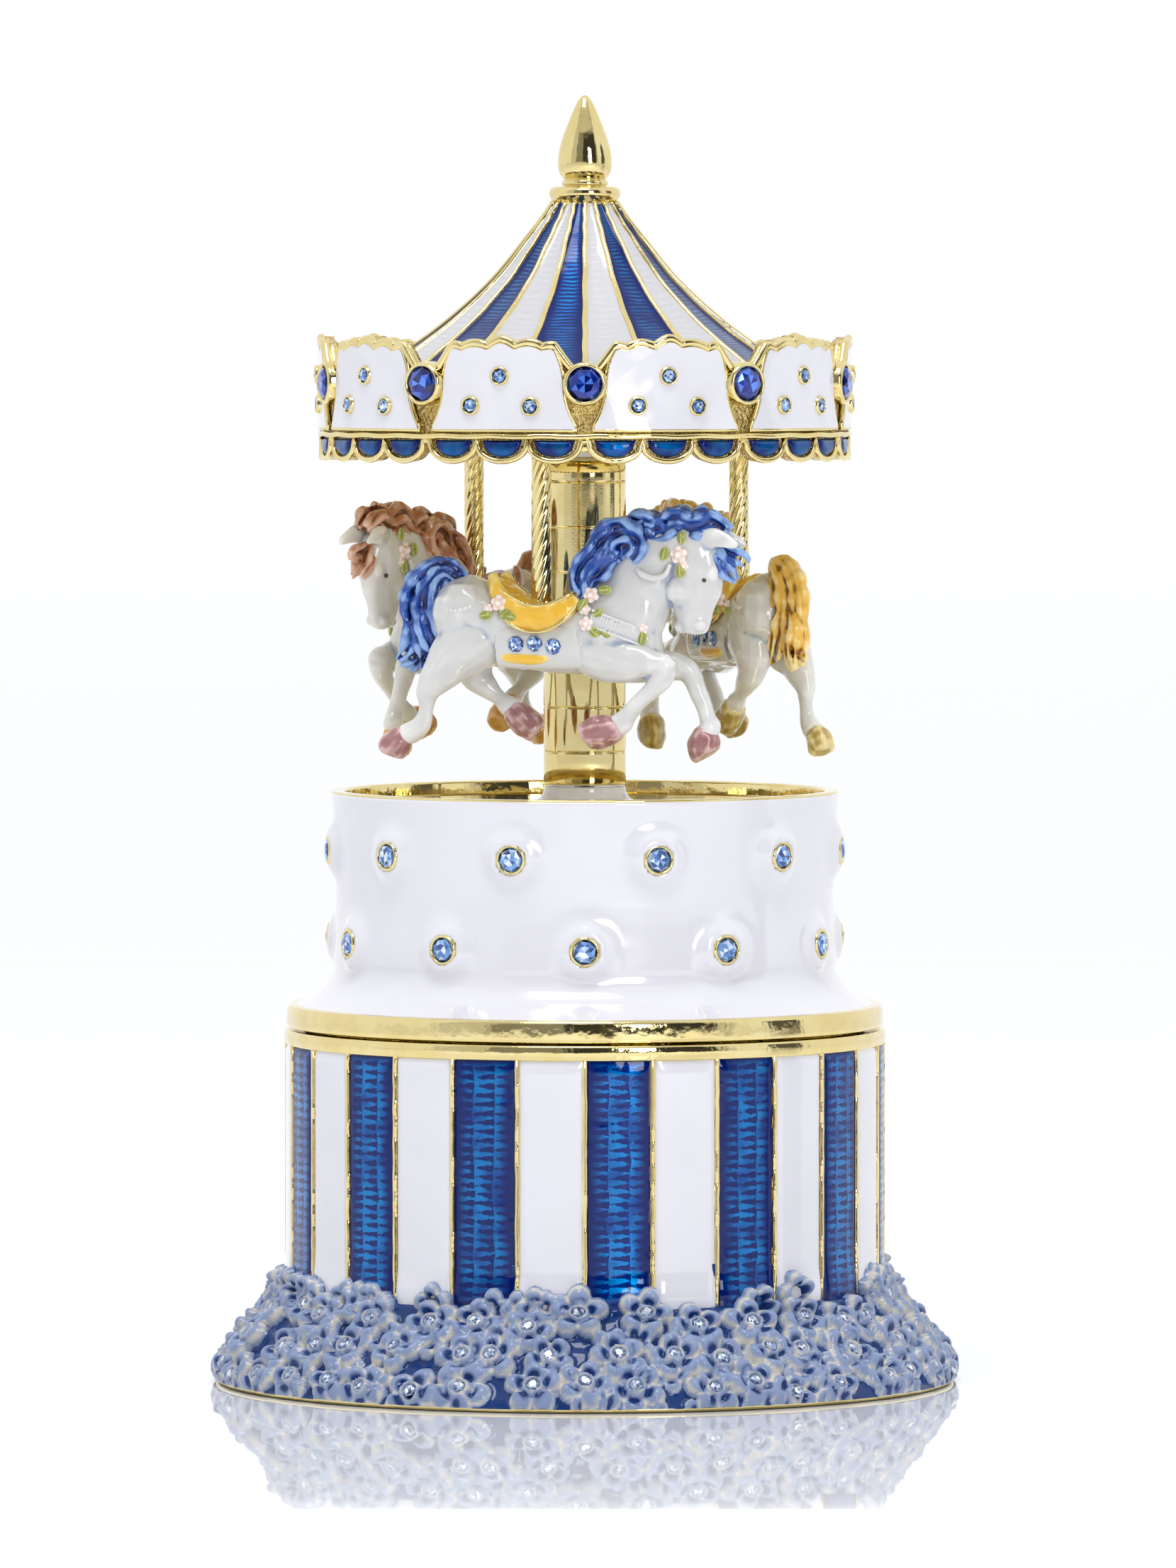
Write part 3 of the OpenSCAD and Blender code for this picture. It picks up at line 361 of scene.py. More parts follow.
@dataclass(frozen=True)
class EngravedEnamel(Finish):
    """Translucent enamel over an engraved ground, deepest along the edges of its cell.

    The piece's UV map holds the place in the cell: U from 0 to 1 across it, V in millimetres along it. Its
    mark "pool", where it has one, says how deep the enamel lies.
    """

    coat: float = 0.6
    coat_roughness: float = 0.02
    specular: float = 0.0
    deep: Colour = (0.0, 0.009, 0.12)
    middle: Colour = (0.0, 0.055, 0.28)
    bright: Colour = (0.0, 0.20, 0.56)
    engraving: Engraving = Engraving.TICKS
    metal: float = 0.75
    pitch: float = 1.25
    edge: float = 0.36
    tick_columns: float = 3.0

    def dress(self, kit: Tree) -> dict[str, object]:
        """The engraved ground under the pooled colour.

        Args:
            kit: the material's tree.

        Returns:
            What feeds the shader's sockets.
        """
        cell = kit.add("ShaderNodeSeparateXYZ", {0: kit.add("ShaderNodeUVMap", uv_map="UVMap").outputs[0]})
        across = cell.outputs[0]
        jitter = kit.drift(260.0)
        bend = kit.swing(jitter, 0.9)
        cut = self.cut(kit, across, kit.math("DIVIDE", cell.outputs[1], self.pitch), jitter, bend)
        side = kit.math("MULTIPLY", kit.math("ABSOLUTE", kit.math("SUBTRACT", across, 0.5)), 2.0)
        uneven = kit.math("ADD", side, kit.math("MULTIPLY", bend, 0.3))
        pool = kit.ramp(uneven, 1.0 - self.edge * 1.8, 1.0 - self.edge * 0.3)
        pool = kit.math("MAXIMUM", pool, kit.ramp(kit.mark("pool"), 0.0, 1.0))
        ground = kit.mix(cut, self.deep, kit.mix(kit.ramp(jitter, 0.35, 0.7), self.bright, self.middle))
        bump = kit.add("ShaderNodeBump", {"Height": cut, "Strength": 0.4, "Distance": 0.0002})
        return {"Base Color": kit.mix(pool, kit.mix(0.12, ground, self.middle), self.deep),
                "Roughness": kit.between(cut, 0.42, 0.25),
                "Metallic": kit.math("MULTIPLY", kit.math("SUBTRACT", 1.0, pool), self.metal),
                "Normal": bump.outputs[0],
                "Coat Normal": kit.waves(160.0, 0.25, 2500.0, 0.01)}

    def cut(self, kit: Tree, across: Socket, row: Socket, jitter: Socket, bend: Socket) -> Socket:
        """How far the engraver left the ground standing.

        Args:
            kit: the material's tree.
            across: the place across the cell, from 0 to 1.
            row: the place along it, in rows.
            jitter: the hand's unevenness, round 0.5.
            bend: the same, round 0.

        Returns:
            A number from 0 in the cuts to 1 on the ground.
        """
        if self.engraving is Engraving.PLAIN:
            return kit.ramp(jitter, 0.3, 0.7)
        loose = 0.6 if self.engraving is Engraving.TICKS else 1.6
        turned = kit.math("ADD", row, kit.math("MULTIPLY", bend, loose))
        wave = kit.math("SINE", kit.math("MULTIPLY", turned, TAU))
        if self.engraving is Engraving.LINES:
            core = kit.ramp(kit.math("ABSOLUTE", kit.math("SUBTRACT", across, 0.5)), 0.42, 0.05)
            strength = kit.math("ADD", 0.15, kit.math("MULTIPLY", core, jitter))
            return kit.math("MULTIPLY", kit.ramp(wave, -0.6, 0.9), strength)
        shifted = kit.math("MULTIPLY_ADD", across, self.tick_columns, kit.math("MULTIPLY", bend, 0.5))
        reach = kit.math("SUBTRACT", 0.85, kit.math("FRACT", shifted))
        reach = kit.math("ADD", reach, kit.swing(kit.drift(1500.0, 1.0), 1.2))
        tick = kit.math("SUBTRACT", kit.math("MULTIPLY", wave, 0.6), kit.math("MULTIPLY", reach, 1.2))
        return kit.math("SUBTRACT", 1.0, kit.ramp(tick, -0.55, -0.15))


@dataclass(frozen=True)
class ReliefShadedEnamel(Finish):
    """Thin coloured enamel over relief, with painted shade: dark in the hollows, painted as shade where the
    enamel also pools, and pale where it runs off the edges, partly a painted highlight.
    """

    coat: float = 0.9
    coat_roughness: float = 0.03
    specular: float = 0.15
    edge: Colour = (0.55, 0.60, 0.72)
    face: Colour = (0.25, 0.34, 0.56)
    # Painted shade: the colour in the hollows.
    hollow_shade: Colour = (0.02, 0.05, 0.18)
    depth: float = 1.0
    mottle: float = 0.35
    mottle_size: float = 700.0
    rough: float = 0.25

    def dress(self, kit: Tree) -> dict[str, object]:
        """The colour with its painted shade and highlight, and the fired surface."""
        paint = kit.add("ShaderNodeGroup", {
            "Edge": self.edge, "Face": self.face, "Hollow shade": self.hollow_shade, "Depth": self.depth,
            "Mottle": self.mottle, "Mottle size": self.mottle_size}, node_tree=EFFECTS.relief_shade_paint)
        return {"Base Color": paint.outputs["Color"], "Roughness": self.rough,
                "Normal": self.worked(kit, 500.0, 0.12, 3500.0, 0.02)}


@dataclass(frozen=True)
class GlintPaintedCrystal(Finish):
    """Foil-backed cut crystal whose sparkle is painted: each facet takes its own tone from the mesh, a painted
    reflection from dark to a white glint.
    """

    metallic: float = 0.35
    coat: float = 1.0
    coat_roughness: float = 0.0
    dark: Colour = (0.01, 0.03, 0.16)
    middle: Colour = (0.16, 0.36, 0.78)
    light: Colour = (0.72, 0.84, 1.0)

    def dress(self, kit: Tree) -> dict[str, object]:
        """Each facet's tone: its painted reflection, from dark to a white glint."""
        tone = kit.mark("facet")
        low = kit.mix(kit.ramp(tone, 0.0, 0.5, False), self.dark, self.middle)
        colour = kit.mix(kit.ramp(tone, 0.5, 1.0, False), low, self.light)
        return {"Base Color": colour, "Roughness": kit.math("MULTIPLY", tone, 0.08)}


class Finishes:
    """Every finish of the music box."""

    GOLD = Plate("polished_gold")
    GOLD_RIM = Plate("gold_cell_walls", wave=0.10, wave_size=420.0, grain=0.03)
    GOLD_PIT = Plate("gold_stippled", wave=0.8, wave_size=1800.0, grain=0.6, grain_size=5000.0, smoothest=0.12,
                     roughest=0.25, bright=(0.78, 0.62, 0.27), deep=(0.62, 0.46, 0.17))
    GOLD_TUBE = Plate("turned_gold", wave=0.03, wave_size=120.0, grain=0.01)
    WHITE = OpaqueEnamel("white_enamel")
    PANEL = OpaqueEnamel("white_panel_enamel", wave=0.4, wave_size=110.0)
    # The roof's white is darker than the other white enamels, as painted shade against the strong light from
    # above.
    SHADED_ROOF_WHITE = EngravedEnamel(
        "white_roof_enamel", deep=(0.58, 0.58, 0.61), middle=(0.61, 0.61, 0.64), bright=(0.67, 0.67, 0.69),
        engraving=Engraving.LINES, pitch=0.8, edge=0.12, metal=0.1)
    BLUE = EngravedEnamel("blue_drum_enamel")
    ROOF_BLUE = EngravedEnamel(
        "blue_roof_enamel", coat_roughness=0.12, engraving=Engraving.LINES, pitch=0.45, edge=0.28,
        middle=(0.0, 0.03, 0.22), bright=(0.0, 0.30, 0.75))
    SCALLOP_BLUE = EngravedEnamel("blue_scallop_enamel", engraving=Engraving.PLAIN, edge=0.4,
                                  bright=(0.0, 0.25, 0.6))
    # The petals' navy in the hollows is painted shade with pooled enamel; the cream edge is the enamel's own
    # colour where it runs thin.
    PETAL = ReliefShadedEnamel(
        "petal_enamel", hollow_shade=(0.006, 0.035, 0.16), face=(0.23, 0.30, 0.48), edge=(0.62, 0.59, 0.52),
        mottle=0.9, mottle_size=500.0, rough=0.2, coat=0.7, specular=0.0)
    # Each crystal's light colour is the painted glint of its brightest facets.
    FLOWER_CRYSTAL = GlintPaintedCrystal("clear_crystal", dark=(0.03, 0.05, 0.14), middle=(0.30, 0.40, 0.60),
                                light=(0.92, 0.96, 1.0))
    CRYSTAL = GlintPaintedCrystal("pale_sapphire_crystal", light=(0.85, 0.92, 1.0))
    DEEP_CRYSTAL = GlintPaintedCrystal("royal_sapphire_crystal", dark=(0.0, 0.002, 0.05), middle=(0.0, 0.025, 0.33),
                              light=(0.10, 0.26, 0.95))
    # The pearl coats' bluish grey in the hollows is painted shade.
    PEARL = ReliefShadedEnamel(
        "pearl_coat", edge=(0.78, 0.78, 0.77), face=(0.64, 0.64, 0.63), hollow_shade=(0.36, 0.42, 0.53),
        depth=0.7, mottle=0.5, mottle_size=160.0, rough=0.24)
    WARM_PEARL = ReliefShadedEnamel(
        "warm_pearl_coat", edge=(0.82, 0.81, 0.74), face=(0.70, 0.69, 0.64), hollow_shade=(0.40, 0.46, 0.45),
        depth=0.7, mottle=0.5, mottle_size=160.0, rough=0.24)
    EYE = OpaqueEnamel("black_enamel", colour=(0.005, 0.005, 0.006), second=(0.01, 0.01, 0.012))
    # The leaves and roses also darken in their hollows as painted shade.
    LEAF = ReliefShadedEnamel("leaf_enamel", edge=(0.55, 0.56, 0.18), face=(0.26, 0.30, 0.04),
                        hollow_shade=(0.05, 0.07, 0.01))
    ROSE = ReliefShadedEnamel("rose_enamel", edge=(0.92, 0.86, 0.84), face=(0.90, 0.70, 0.62),
                        hollow_shade=(0.72, 0.42, 0.34), mottle=0.8, mottle_size=420.0)
    NYLON = OpaqueEnamel("white_nylon", coat=0.2, colour=(0.84, 0.83, 0.82), second=(0.8, 0.79, 0.78))
    BRASS = Plate("movement_brass", bright=(0.80, 0.60, 0.26), deep=(0.70, 0.50, 0.2), smoothest=0.22,
                  roughest=0.34, grain=0.2)
    STEEL = Plate("polished_steel", bright=(0.72, 0.72, 0.74), deep=(0.6, 0.6, 0.62), smoothest=0.12,
                  roughest=0.2)
    GROUND_STEEL = Plate("ground_steel", bright=(0.62, 0.63, 0.66), deep=(0.5, 0.5, 0.54), smoothest=0.28,
                         roughest=0.4, grain=0.3)
    BLUED = Plate("blued_steel", bright=(0.12, 0.16, 0.3), deep=(0.07, 0.09, 0.2), smoothest=0.2, roughest=0.3)
    CASTING = Plate("grey_casting", bright=(0.42, 0.42, 0.43), deep=(0.34, 0.34, 0.35), smoothest=0.45,
                    roughest=0.6, grain=0.6)


# ---------------------------------------------------------------- shapes

def spot(angle: float, radius: float, height: float) -> Vector:
    """A place round the axis, at an angle from the front in radians."""
    return Vector((radius * math.sin(angle), -radius * math.cos(angle), height))


def eased(points: Sequence[Point], radius: float, steps: int = 3) -> list[Point]:
    """Rounds the corners of an open outline.

    Args:
        points: the outline's corners.
        radius: how far from each corner the rounding starts.
        steps: points added to each corner.

    Returns:
        The rounded outline.
    """
    out = [points[0]]
    for before, corner, after in zip(points, points[1:], points[2:]):
        c = Vector(corner)
        reach = min(radius, (Vector(before) - c).length * 0.45, (Vector(after) - c).length * 0.45)
        a = c + (Vector(before) - c).normalized() * reach
        b = c + (Vector(after) - c).normalized() * reach
        for k in range(steps + 1):
            t = k / steps
            out.append(tuple(a * (1 - t) ** 2 + c * 2 * t * (1 - t) + b * t * t))
    out.append(points[-1])
    return out


def flow(keys: Sequence[Key], steps: int = 4) -> list[Key]:
    """Fills in a smooth run between keys of any width.

    Args:
        keys: the places that the run passes through.
        steps: places for each gap between keys.

    Returns:
        The run, with its last key.
    """
    k = [np.array(key, dtype=float) for key in keys]
    k = [2 * k[0] - k[1], *k, 2 * k[-1] - k[-2]]
    out = []
    for i in range(1, len(k) - 2):
        for s in range(steps):
            t = s / steps
            out.append(tuple(0.5 * (2 * k[i] + (k[i + 1] - k[i - 1]) * t
                                    + (2 * k[i - 1] - 5 * k[i] + 4 * k[i + 1] - k[i + 2]) * t * t
                                    + (3 * k[i] - k[i - 1] - 3 * k[i + 1] + k[i + 2]) * t ** 3)))
    return [*out, tuple(k[-2])]


def lathe(bm: Shape, outline: Sequence[Point], steps: int = 192, closed: bool = False) -> None:
    """Spins an outline of radius and height round the axis.

    Args:
        bm: the mesh to add it to.
        outline: the outline's points.
        steps: faces round the axis.
        closed: whether the outline's last point joins its first.
    """
    verts = [bm.verts.new((r, 0.0, z)) for r, z in outline]
    pairs = list(zip(verts, verts[1:])) + ([(verts[-1], verts[0])] if closed else [])
    edges = [bm.edges.new(pair) for pair in pairs]
    bmesh.ops.spin(bm, geom=verts + edges, cent=(0, 0, 0), axis=(0, 0, 1), angle=TAU, steps=steps,
                   use_merge=True, use_duplicate=False)
    bmesh.ops.remove_doubles(bm, verts=bm.verts, dist=1e-5)


def sheet(bm: Shape, columns: int, rows: int, place: Callable[[float, float], Vector],
          uv: Callable[[float, float], Point] | None = None) -> list[bmesh.types.BMFace]:
    """Lays a grid over a surface.

    Args:
        bm: the mesh to add it to.
        columns: faces along the first way.
        rows: faces along the second way.
        place: the surface, from two numbers that run from 0 to 1.
        uv: the UV place for the same two numbers.

    Returns:
        The grid's faces.
    """
    layer = bm.loops.layers.uv.get("UVMap") or bm.loops.layers.uv.new("UVMap")
    verts = bmesh.ops.create_grid(bm, x_segments=columns, y_segments=rows, size=0.5)["verts"]
    faces = list({face for vert in verts for face in vert.link_faces})
    for face in faces:
        for loop in face.loops:
            u, v = loop.vert.co.x + 0.5, loop.vert.co.y + 0.5
            loop[layer].uv = uv(u, v) if uv else (u, v)
    for vert in verts:
        vert.co = place(vert.co.x + 0.5, vert.co.y + 0.5)
    return faces


def rings(bm: Shape, frames: Sequence[Matrix], sides: int, loop: bool,
          section: Callable[[float], Vector] | None = None) -> None:
    """Skins a run of sections, each a unit circle in its own frame.

    Args:
        bm: the mesh to add the skin to.
        frames: each section's place, with its half sizes on X and Y.
        sides: faces round the section.
        loop: whether the last section joins the first; else both ends are capped.
        section: the section's outline at an angle, where it isn't a circle.
    """
    shape = section or (lambda angle: Vector((math.cos(angle), math.sin(angle), 0)))
    outline = [shape(k * TAU / sides) for k in range(sides)]
    steps = len(frames) if loop else len(frames) - 1
    part = bmesh.new()
    sheet(part, steps, sides,
          lambda u, v: frames[round(u * steps) % len(frames)] @ outline[round(v * sides) % sides])
    bmesh.ops.remove_doubles(part, verts=part.verts, dist=1e-5)
    if not loop:
        bmesh.ops.holes_fill(part, edges=[edge for edge in part.edges if edge.is_boundary], sides=sides)
    absorb(bm, part)


def loft(bm: Shape, keys: Sequence[Key], sides: int = 12, across: Vector = Vector((0, 1, 0))) -> None:
    """Draws an oval section along a path.

    Args:
        bm: the mesh to add it to.
        keys: places along the path as x, y, z, half width and half depth.
        sides: faces round the section.
        across: the way that the half width lies, before it is squared to the path.
    """
    spots = [Vector(key[:3]) for key in keys]
    frames = []
    for i, (place, key) in enumerate(zip(spots, keys)):
        ahead = (spots[min(i + 1, len(spots) - 1)] - spots[max(i - 1, 0)]).normalized()
        side = (across - ahead * across.dot(ahead)).normalized()
        frame = Matrix((side * key[3], ahead.cross(side) * key[4], ahead)).transposed().to_4x4()
        frame.translation = place
        frames.append(frame)
    rings(bm, frames, sides, loop=False)


def cord(bm: Shape, spots: Sequence[Vector], radius: float, sides: int = 8) -> None:
    """Draws a closed round bead of metal along a loop round the axis or on its face.

    Args:
        bm: the mesh to add it to.
        spots: the loop's places.
        radius: the bead's radius.
        sides: faces round it.
    """
    frames = []
    for i, place in enumerate(spots):
        ahead = (spots[(i + 1) % len(spots)] - spots[i - 1]).normalized()
        out = Vector((place.x, place.y, 0)).normalized()
        side = (out - ahead * out.dot(ahead)).normalized()
        frame = Matrix((side * radius, ahead.cross(side) * radius, ahead)).transposed().to_4x4()
        frame.translation = place
        frames.append(frame)
    rings(bm, frames, sides, loop=True)


def blob(bm: Shape, place: Vector, size: Sequence[float], turn: Matrix | None = None,
         segments: int = 12) -> None:
    """Adds an oval ball.

    Args:
        bm: the mesh to add it to.
        place: its centre.
        size: its three half sizes.
        turn: how it is turned.
        segments: faces round it.
    """
    matrix = Matrix.Translation(place) @ (turn or Matrix.Identity(4)) @ Matrix.Diagonal((*size, 1.0))
    part = bmesh.new()
    bmesh.ops.create_uvsphere(part, u_segments=segments, v_segments=max(6, segments // 2), radius=1.0,
                              matrix=matrix)
    absorb(bm, part)


def facing(place: Vector, way: Vector, spin: float = 0.0) -> Matrix:
    """A matrix at a place whose Z looks along a way, turned by spin round it."""
    up = Vector((0, 0, 1)) if abs(way.z) < 0.99 else Vector((1, 0, 0))
    side = up.cross(way).normalized()
    matrix = Matrix((side, way.cross(side), way)).transposed().to_4x4()
    matrix.translation = place
    return matrix @ Matrix.Rotation(spin, 4, "Z")


def brilliant(bm: Shape, radius: float, matrix: Matrix, seed: int, sides: int = 8) -> None:
    """Adds a brilliant-cut stone that looks along its own Z, with a painted reflection tone on each facet.

    Args:
        bm: the mesh to add it to.
        radius: the girdle's radius.
        matrix: where it sits.
        seed: what its painted reflection tones are drawn from.
        sides: main facets round it.
    """
    draw = np.random.default_rng(seed)
    part = bmesh.new()
    layer = part.faces.layers.float.new("facet")
    bmesh.ops.create_circle(part, cap_ends=True, cap_tris=True, segments=sides, radius=radius * 0.52,
                            matrix=Matrix.Translation((0, 0, radius * 0.36)))
    rim = [edge for edge in part.edges if len(edge.link_faces) == 1]
    for reach, height, spin in ((0.84, 0.22, math.pi / sides), (1.0, 0.0, 0.0), (0.12, -0.5, 0.0)):
        rim, verts = drawn_out(part, rim)
        for vert in verts:
            flat = Vector((vert.co.x, vert.co.y)).normalized()
            flat.rotate(Matrix.Rotation(spin, 2))
            vert.co = Vector((flat.x * radius * reach, flat.y * radius * reach, radius * height))
    bmesh.ops.contextual_create(part, geom=rim)
    bmesh.ops.triangulate(part, faces=part.faces[:])
    bmesh.ops.recalc_face_normals(part, faces=part.faces)
    # Each facet's tone is a painted reflection: random, and brighter on the facets near the stone's middle.
    for face in part.faces:
        centre = face.calc_center_median().length / radius
        face[layer] = float(np.clip(draw.beta(0.7, 0.9) * (1.15 if centre < 0.55 else 0.85), 0.0, 1.0))
        face.smooth = False
    bmesh.ops.transform(part, matrix=matrix, verts=part.verts)
    if not bm.faces.layers.float.get("facet"):
        bm.faces.layers.float.new("facet")
    absorb(bm, part)


def collet(bm: Shape, radius: float, matrix: Matrix, wall: float = 0.55, rise: float = 0.45,
           depth: float = 1.2, steps: int = 28) -> None:
    """Adds the metal cup that a stone sits in.

    Args:
        bm: the mesh to add it to.
        radius: the stone's radius.
        matrix: the stone's place and way.
        wall: the cup's wall.
        rise: how far the rim stands over the stone's girdle.
        depth: how far the cup goes down behind the girdle.
        steps: faces round it.
    """
    outline = eased([(0.0, -radius * 0.5), (radius * 0.97, -0.05), (radius * 0.98, rise * 0.5),
                     (radius + wall * 0.4, rise), (radius + wall, rise * 0.35),
                     (radius + wall * 1.15, -depth)], 0.2, 2)
    part = bmesh.new()
    lathe(part, outline, steps)
    bmesh.ops.transform(part, matrix=matrix, verts=part.verts)
    absorb(bm, part)


def meshed(bm: Shape, name: str) -> Mesh:
    """Turns a shape into a mesh and frees it.

    Args:
        bm: the shape.
        name: the mesh's name.

    Returns:
        The mesh.
    """
    mesh = bpy.data.meshes.new(name)
    bm.to_mesh(mesh)
    bm.free()
    return mesh


def weld(bm: Shape) -> None:
    """Merges the points that lie on one another."""
    bmesh.ops.remove_doubles(bm, verts=bm.verts, dist=1e-4)


def absorb(bm: Shape, part: Shape) -> None:
    """Moves one shape into another."""
    carrier = meshed(part, "carrier")
    bm.from_mesh(carrier)
    bpy.data.meshes.remove(carrier)


def put(name: str, data: bpy.types.ID) -> bpy.types.Object:
    """Puts an object in the scene.

    Args:
        name: the object's name.
        data: its mesh, light or camera.

    Returns:
        The object.
    """
    made = bpy.data.objects.new(name, data)
    bpy.context.scene.collection.objects.link(made)
    return made


def drawn_out(bm: Shape, edges: Sequence[bmesh.types.BMEdge]) -> tuple[list, list]:
    """Extrudes an open edge.

    Args:
        bm: the shape.
        edges: the edge's parts.

    Returns:
        The new edge's parts and its points.
    """
    new = bmesh.ops.extrude_edge_only(bm, edges=edges)["geom"]
    return ([item for item in new if isinstance(item, bmesh.types.BMEdge)],
            [item for item in new if isinstance(item, bmesh.types.BMVert)])


def flipped(keys: Iterable[Key], side: int) -> list[Key]:
    """The same keys, on the other side of the horse where side is -1."""
    return [(x, y * side, z, *more) for x, y, z, *more in keys]


def mark_relief(mesh: Mesh, gain: float, rounds: int = 3, full: float = 92.0, calm: float = 0.14) -> None:
    """Stores how far each point stands out of its surroundings, below 0 in the hollows and above 0 on the
    edges; the finishes paint shade into the hollows from it.

    Args:
        mesh: the mesh to mark.
        gain: what the reading is multiplied by.
        rounds: how many times the reading is spread to its neighbours.
        full: the percentage of points that read less than 1 before the gain.
        calm: the reading under which a point counts as flat.
    """
    count = len(mesh.vertices)
    spots = np.empty(count * 3)
    mesh.vertices.foreach_get("co", spots)
    spots = spots.reshape(-1, 3)
    normals = np.empty(count * 3)
    mesh.vertices.foreach_get("normal", normals)
    normals = normals.reshape(-1, 3)
    ends = np.empty(len(mesh.edges) * 2, dtype=int)
    mesh.edges.foreach_get("vertices", ends)
    a, b = ends.reshape(-1, 2).T
    step = spots[b] - spots[a]
    size = np.maximum(np.linalg.norm(step, axis=1), 1e-9)
    total = np.zeros(count)
    number = np.zeros(count)
    for here, way, sign in ((a, step, -1.0), (b, step, 1.0)):
        np.add.at(total, here, sign * np.einsum("ij,ij->i", normals[here], way) / size)
        np.add.at(number, here, 1.0)
    reading = total / np.maximum(number, 1.0)
    for _ in range(rounds):
        spread = reading.copy()
        np.add.at(spread, a, reading[b])
        np.add.at(spread, b, reading[a])
        reading = spread / (number + 1.0)
    reading = reading / max(np.percentile(np.abs(reading), full), 1e-9)
    reading = np.sign(reading) * np.maximum(np.abs(reading) - calm, 0.0)
    attribute = mesh.attributes.get("relief") or mesh.attributes.new("relief", "FLOAT", "POINT")
    attribute.data.foreach_set("value", np.clip(reading * gain, -1.0, 1.0).astype(np.float32))


def cast(bm: Shape, voxel: float, smooth: int) -> Mesh:
    """Melts overlapping shapes into one skin, as a casting.

    Args:
        bm: the shapes, in millimetres.
        voxel: the skin's grain.
        smooth: rounds of smoothing.

    Returns:
        The skin's mesh, in millimetres.
    """
    bmesh.ops.recalc_face_normals(bm, faces=bm.faces)
    source = meshed(bm, "pattern")
    holder = put("pattern", source)
    remesh = holder.modifiers.new("melt", "REMESH")
    remesh.mode = "VOXEL"
    remesh.voxel_size = voxel
    ease = holder.modifiers.new("ease", "SMOOTH")
    ease.factor = 0.5
    ease.iterations = smooth
    graph = bpy.context.evaluated_depsgraph_get()
    skin = bpy.data.meshes.new_from_object(holder.evaluated_get(graph))
    bpy.data.objects.remove(holder)
    bpy.data.meshes.remove(source)
    return skin


@dataclass
class Assembly:
    """A group of pieces that ride on one body."""

    body: str = "base"

    def settle(self, shape: Shape | Mesh, name: str, finish: Finish, *stands_for: str,
               matrix: Matrix = Matrix.Identity(4), smooth: bool = True) -> None:
        """Makes a finished piece of a shape and sets it on the body.

        Args:
            shape: the shape, in millimetres.
            name: the piece's name.
            finish: its finish.
            stands_for: the CAD nodes that it stands for.
            matrix: where it goes, in millimetres.
            smooth: whether its faces are shaded smooth.
        """
        if isinstance(shape, Shape):
            bmesh.ops.recalc_face_normals(shape, faces=shape.faces)
            mesh = meshed(shape, name)
        else:
            mesh = shape
            mesh.name = name
        mesh.transform(Matrix.Scale(MM, 4) @ matrix)
        mesh.materials.clear()
        mesh.materials.append(finish.material())
        if smooth:
            mesh.polygons.foreach_set("use_smooth", [True] * len(mesh.polygons))
        piece = put(name, mesh)
        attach(piece, self.body)
        if stands_for:
            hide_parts(*stands_for)
        log.info("%s: %d faces on %s", name, len(mesh.polygons), self.body)


# ---------------------------------------------------------------- drum and flowers

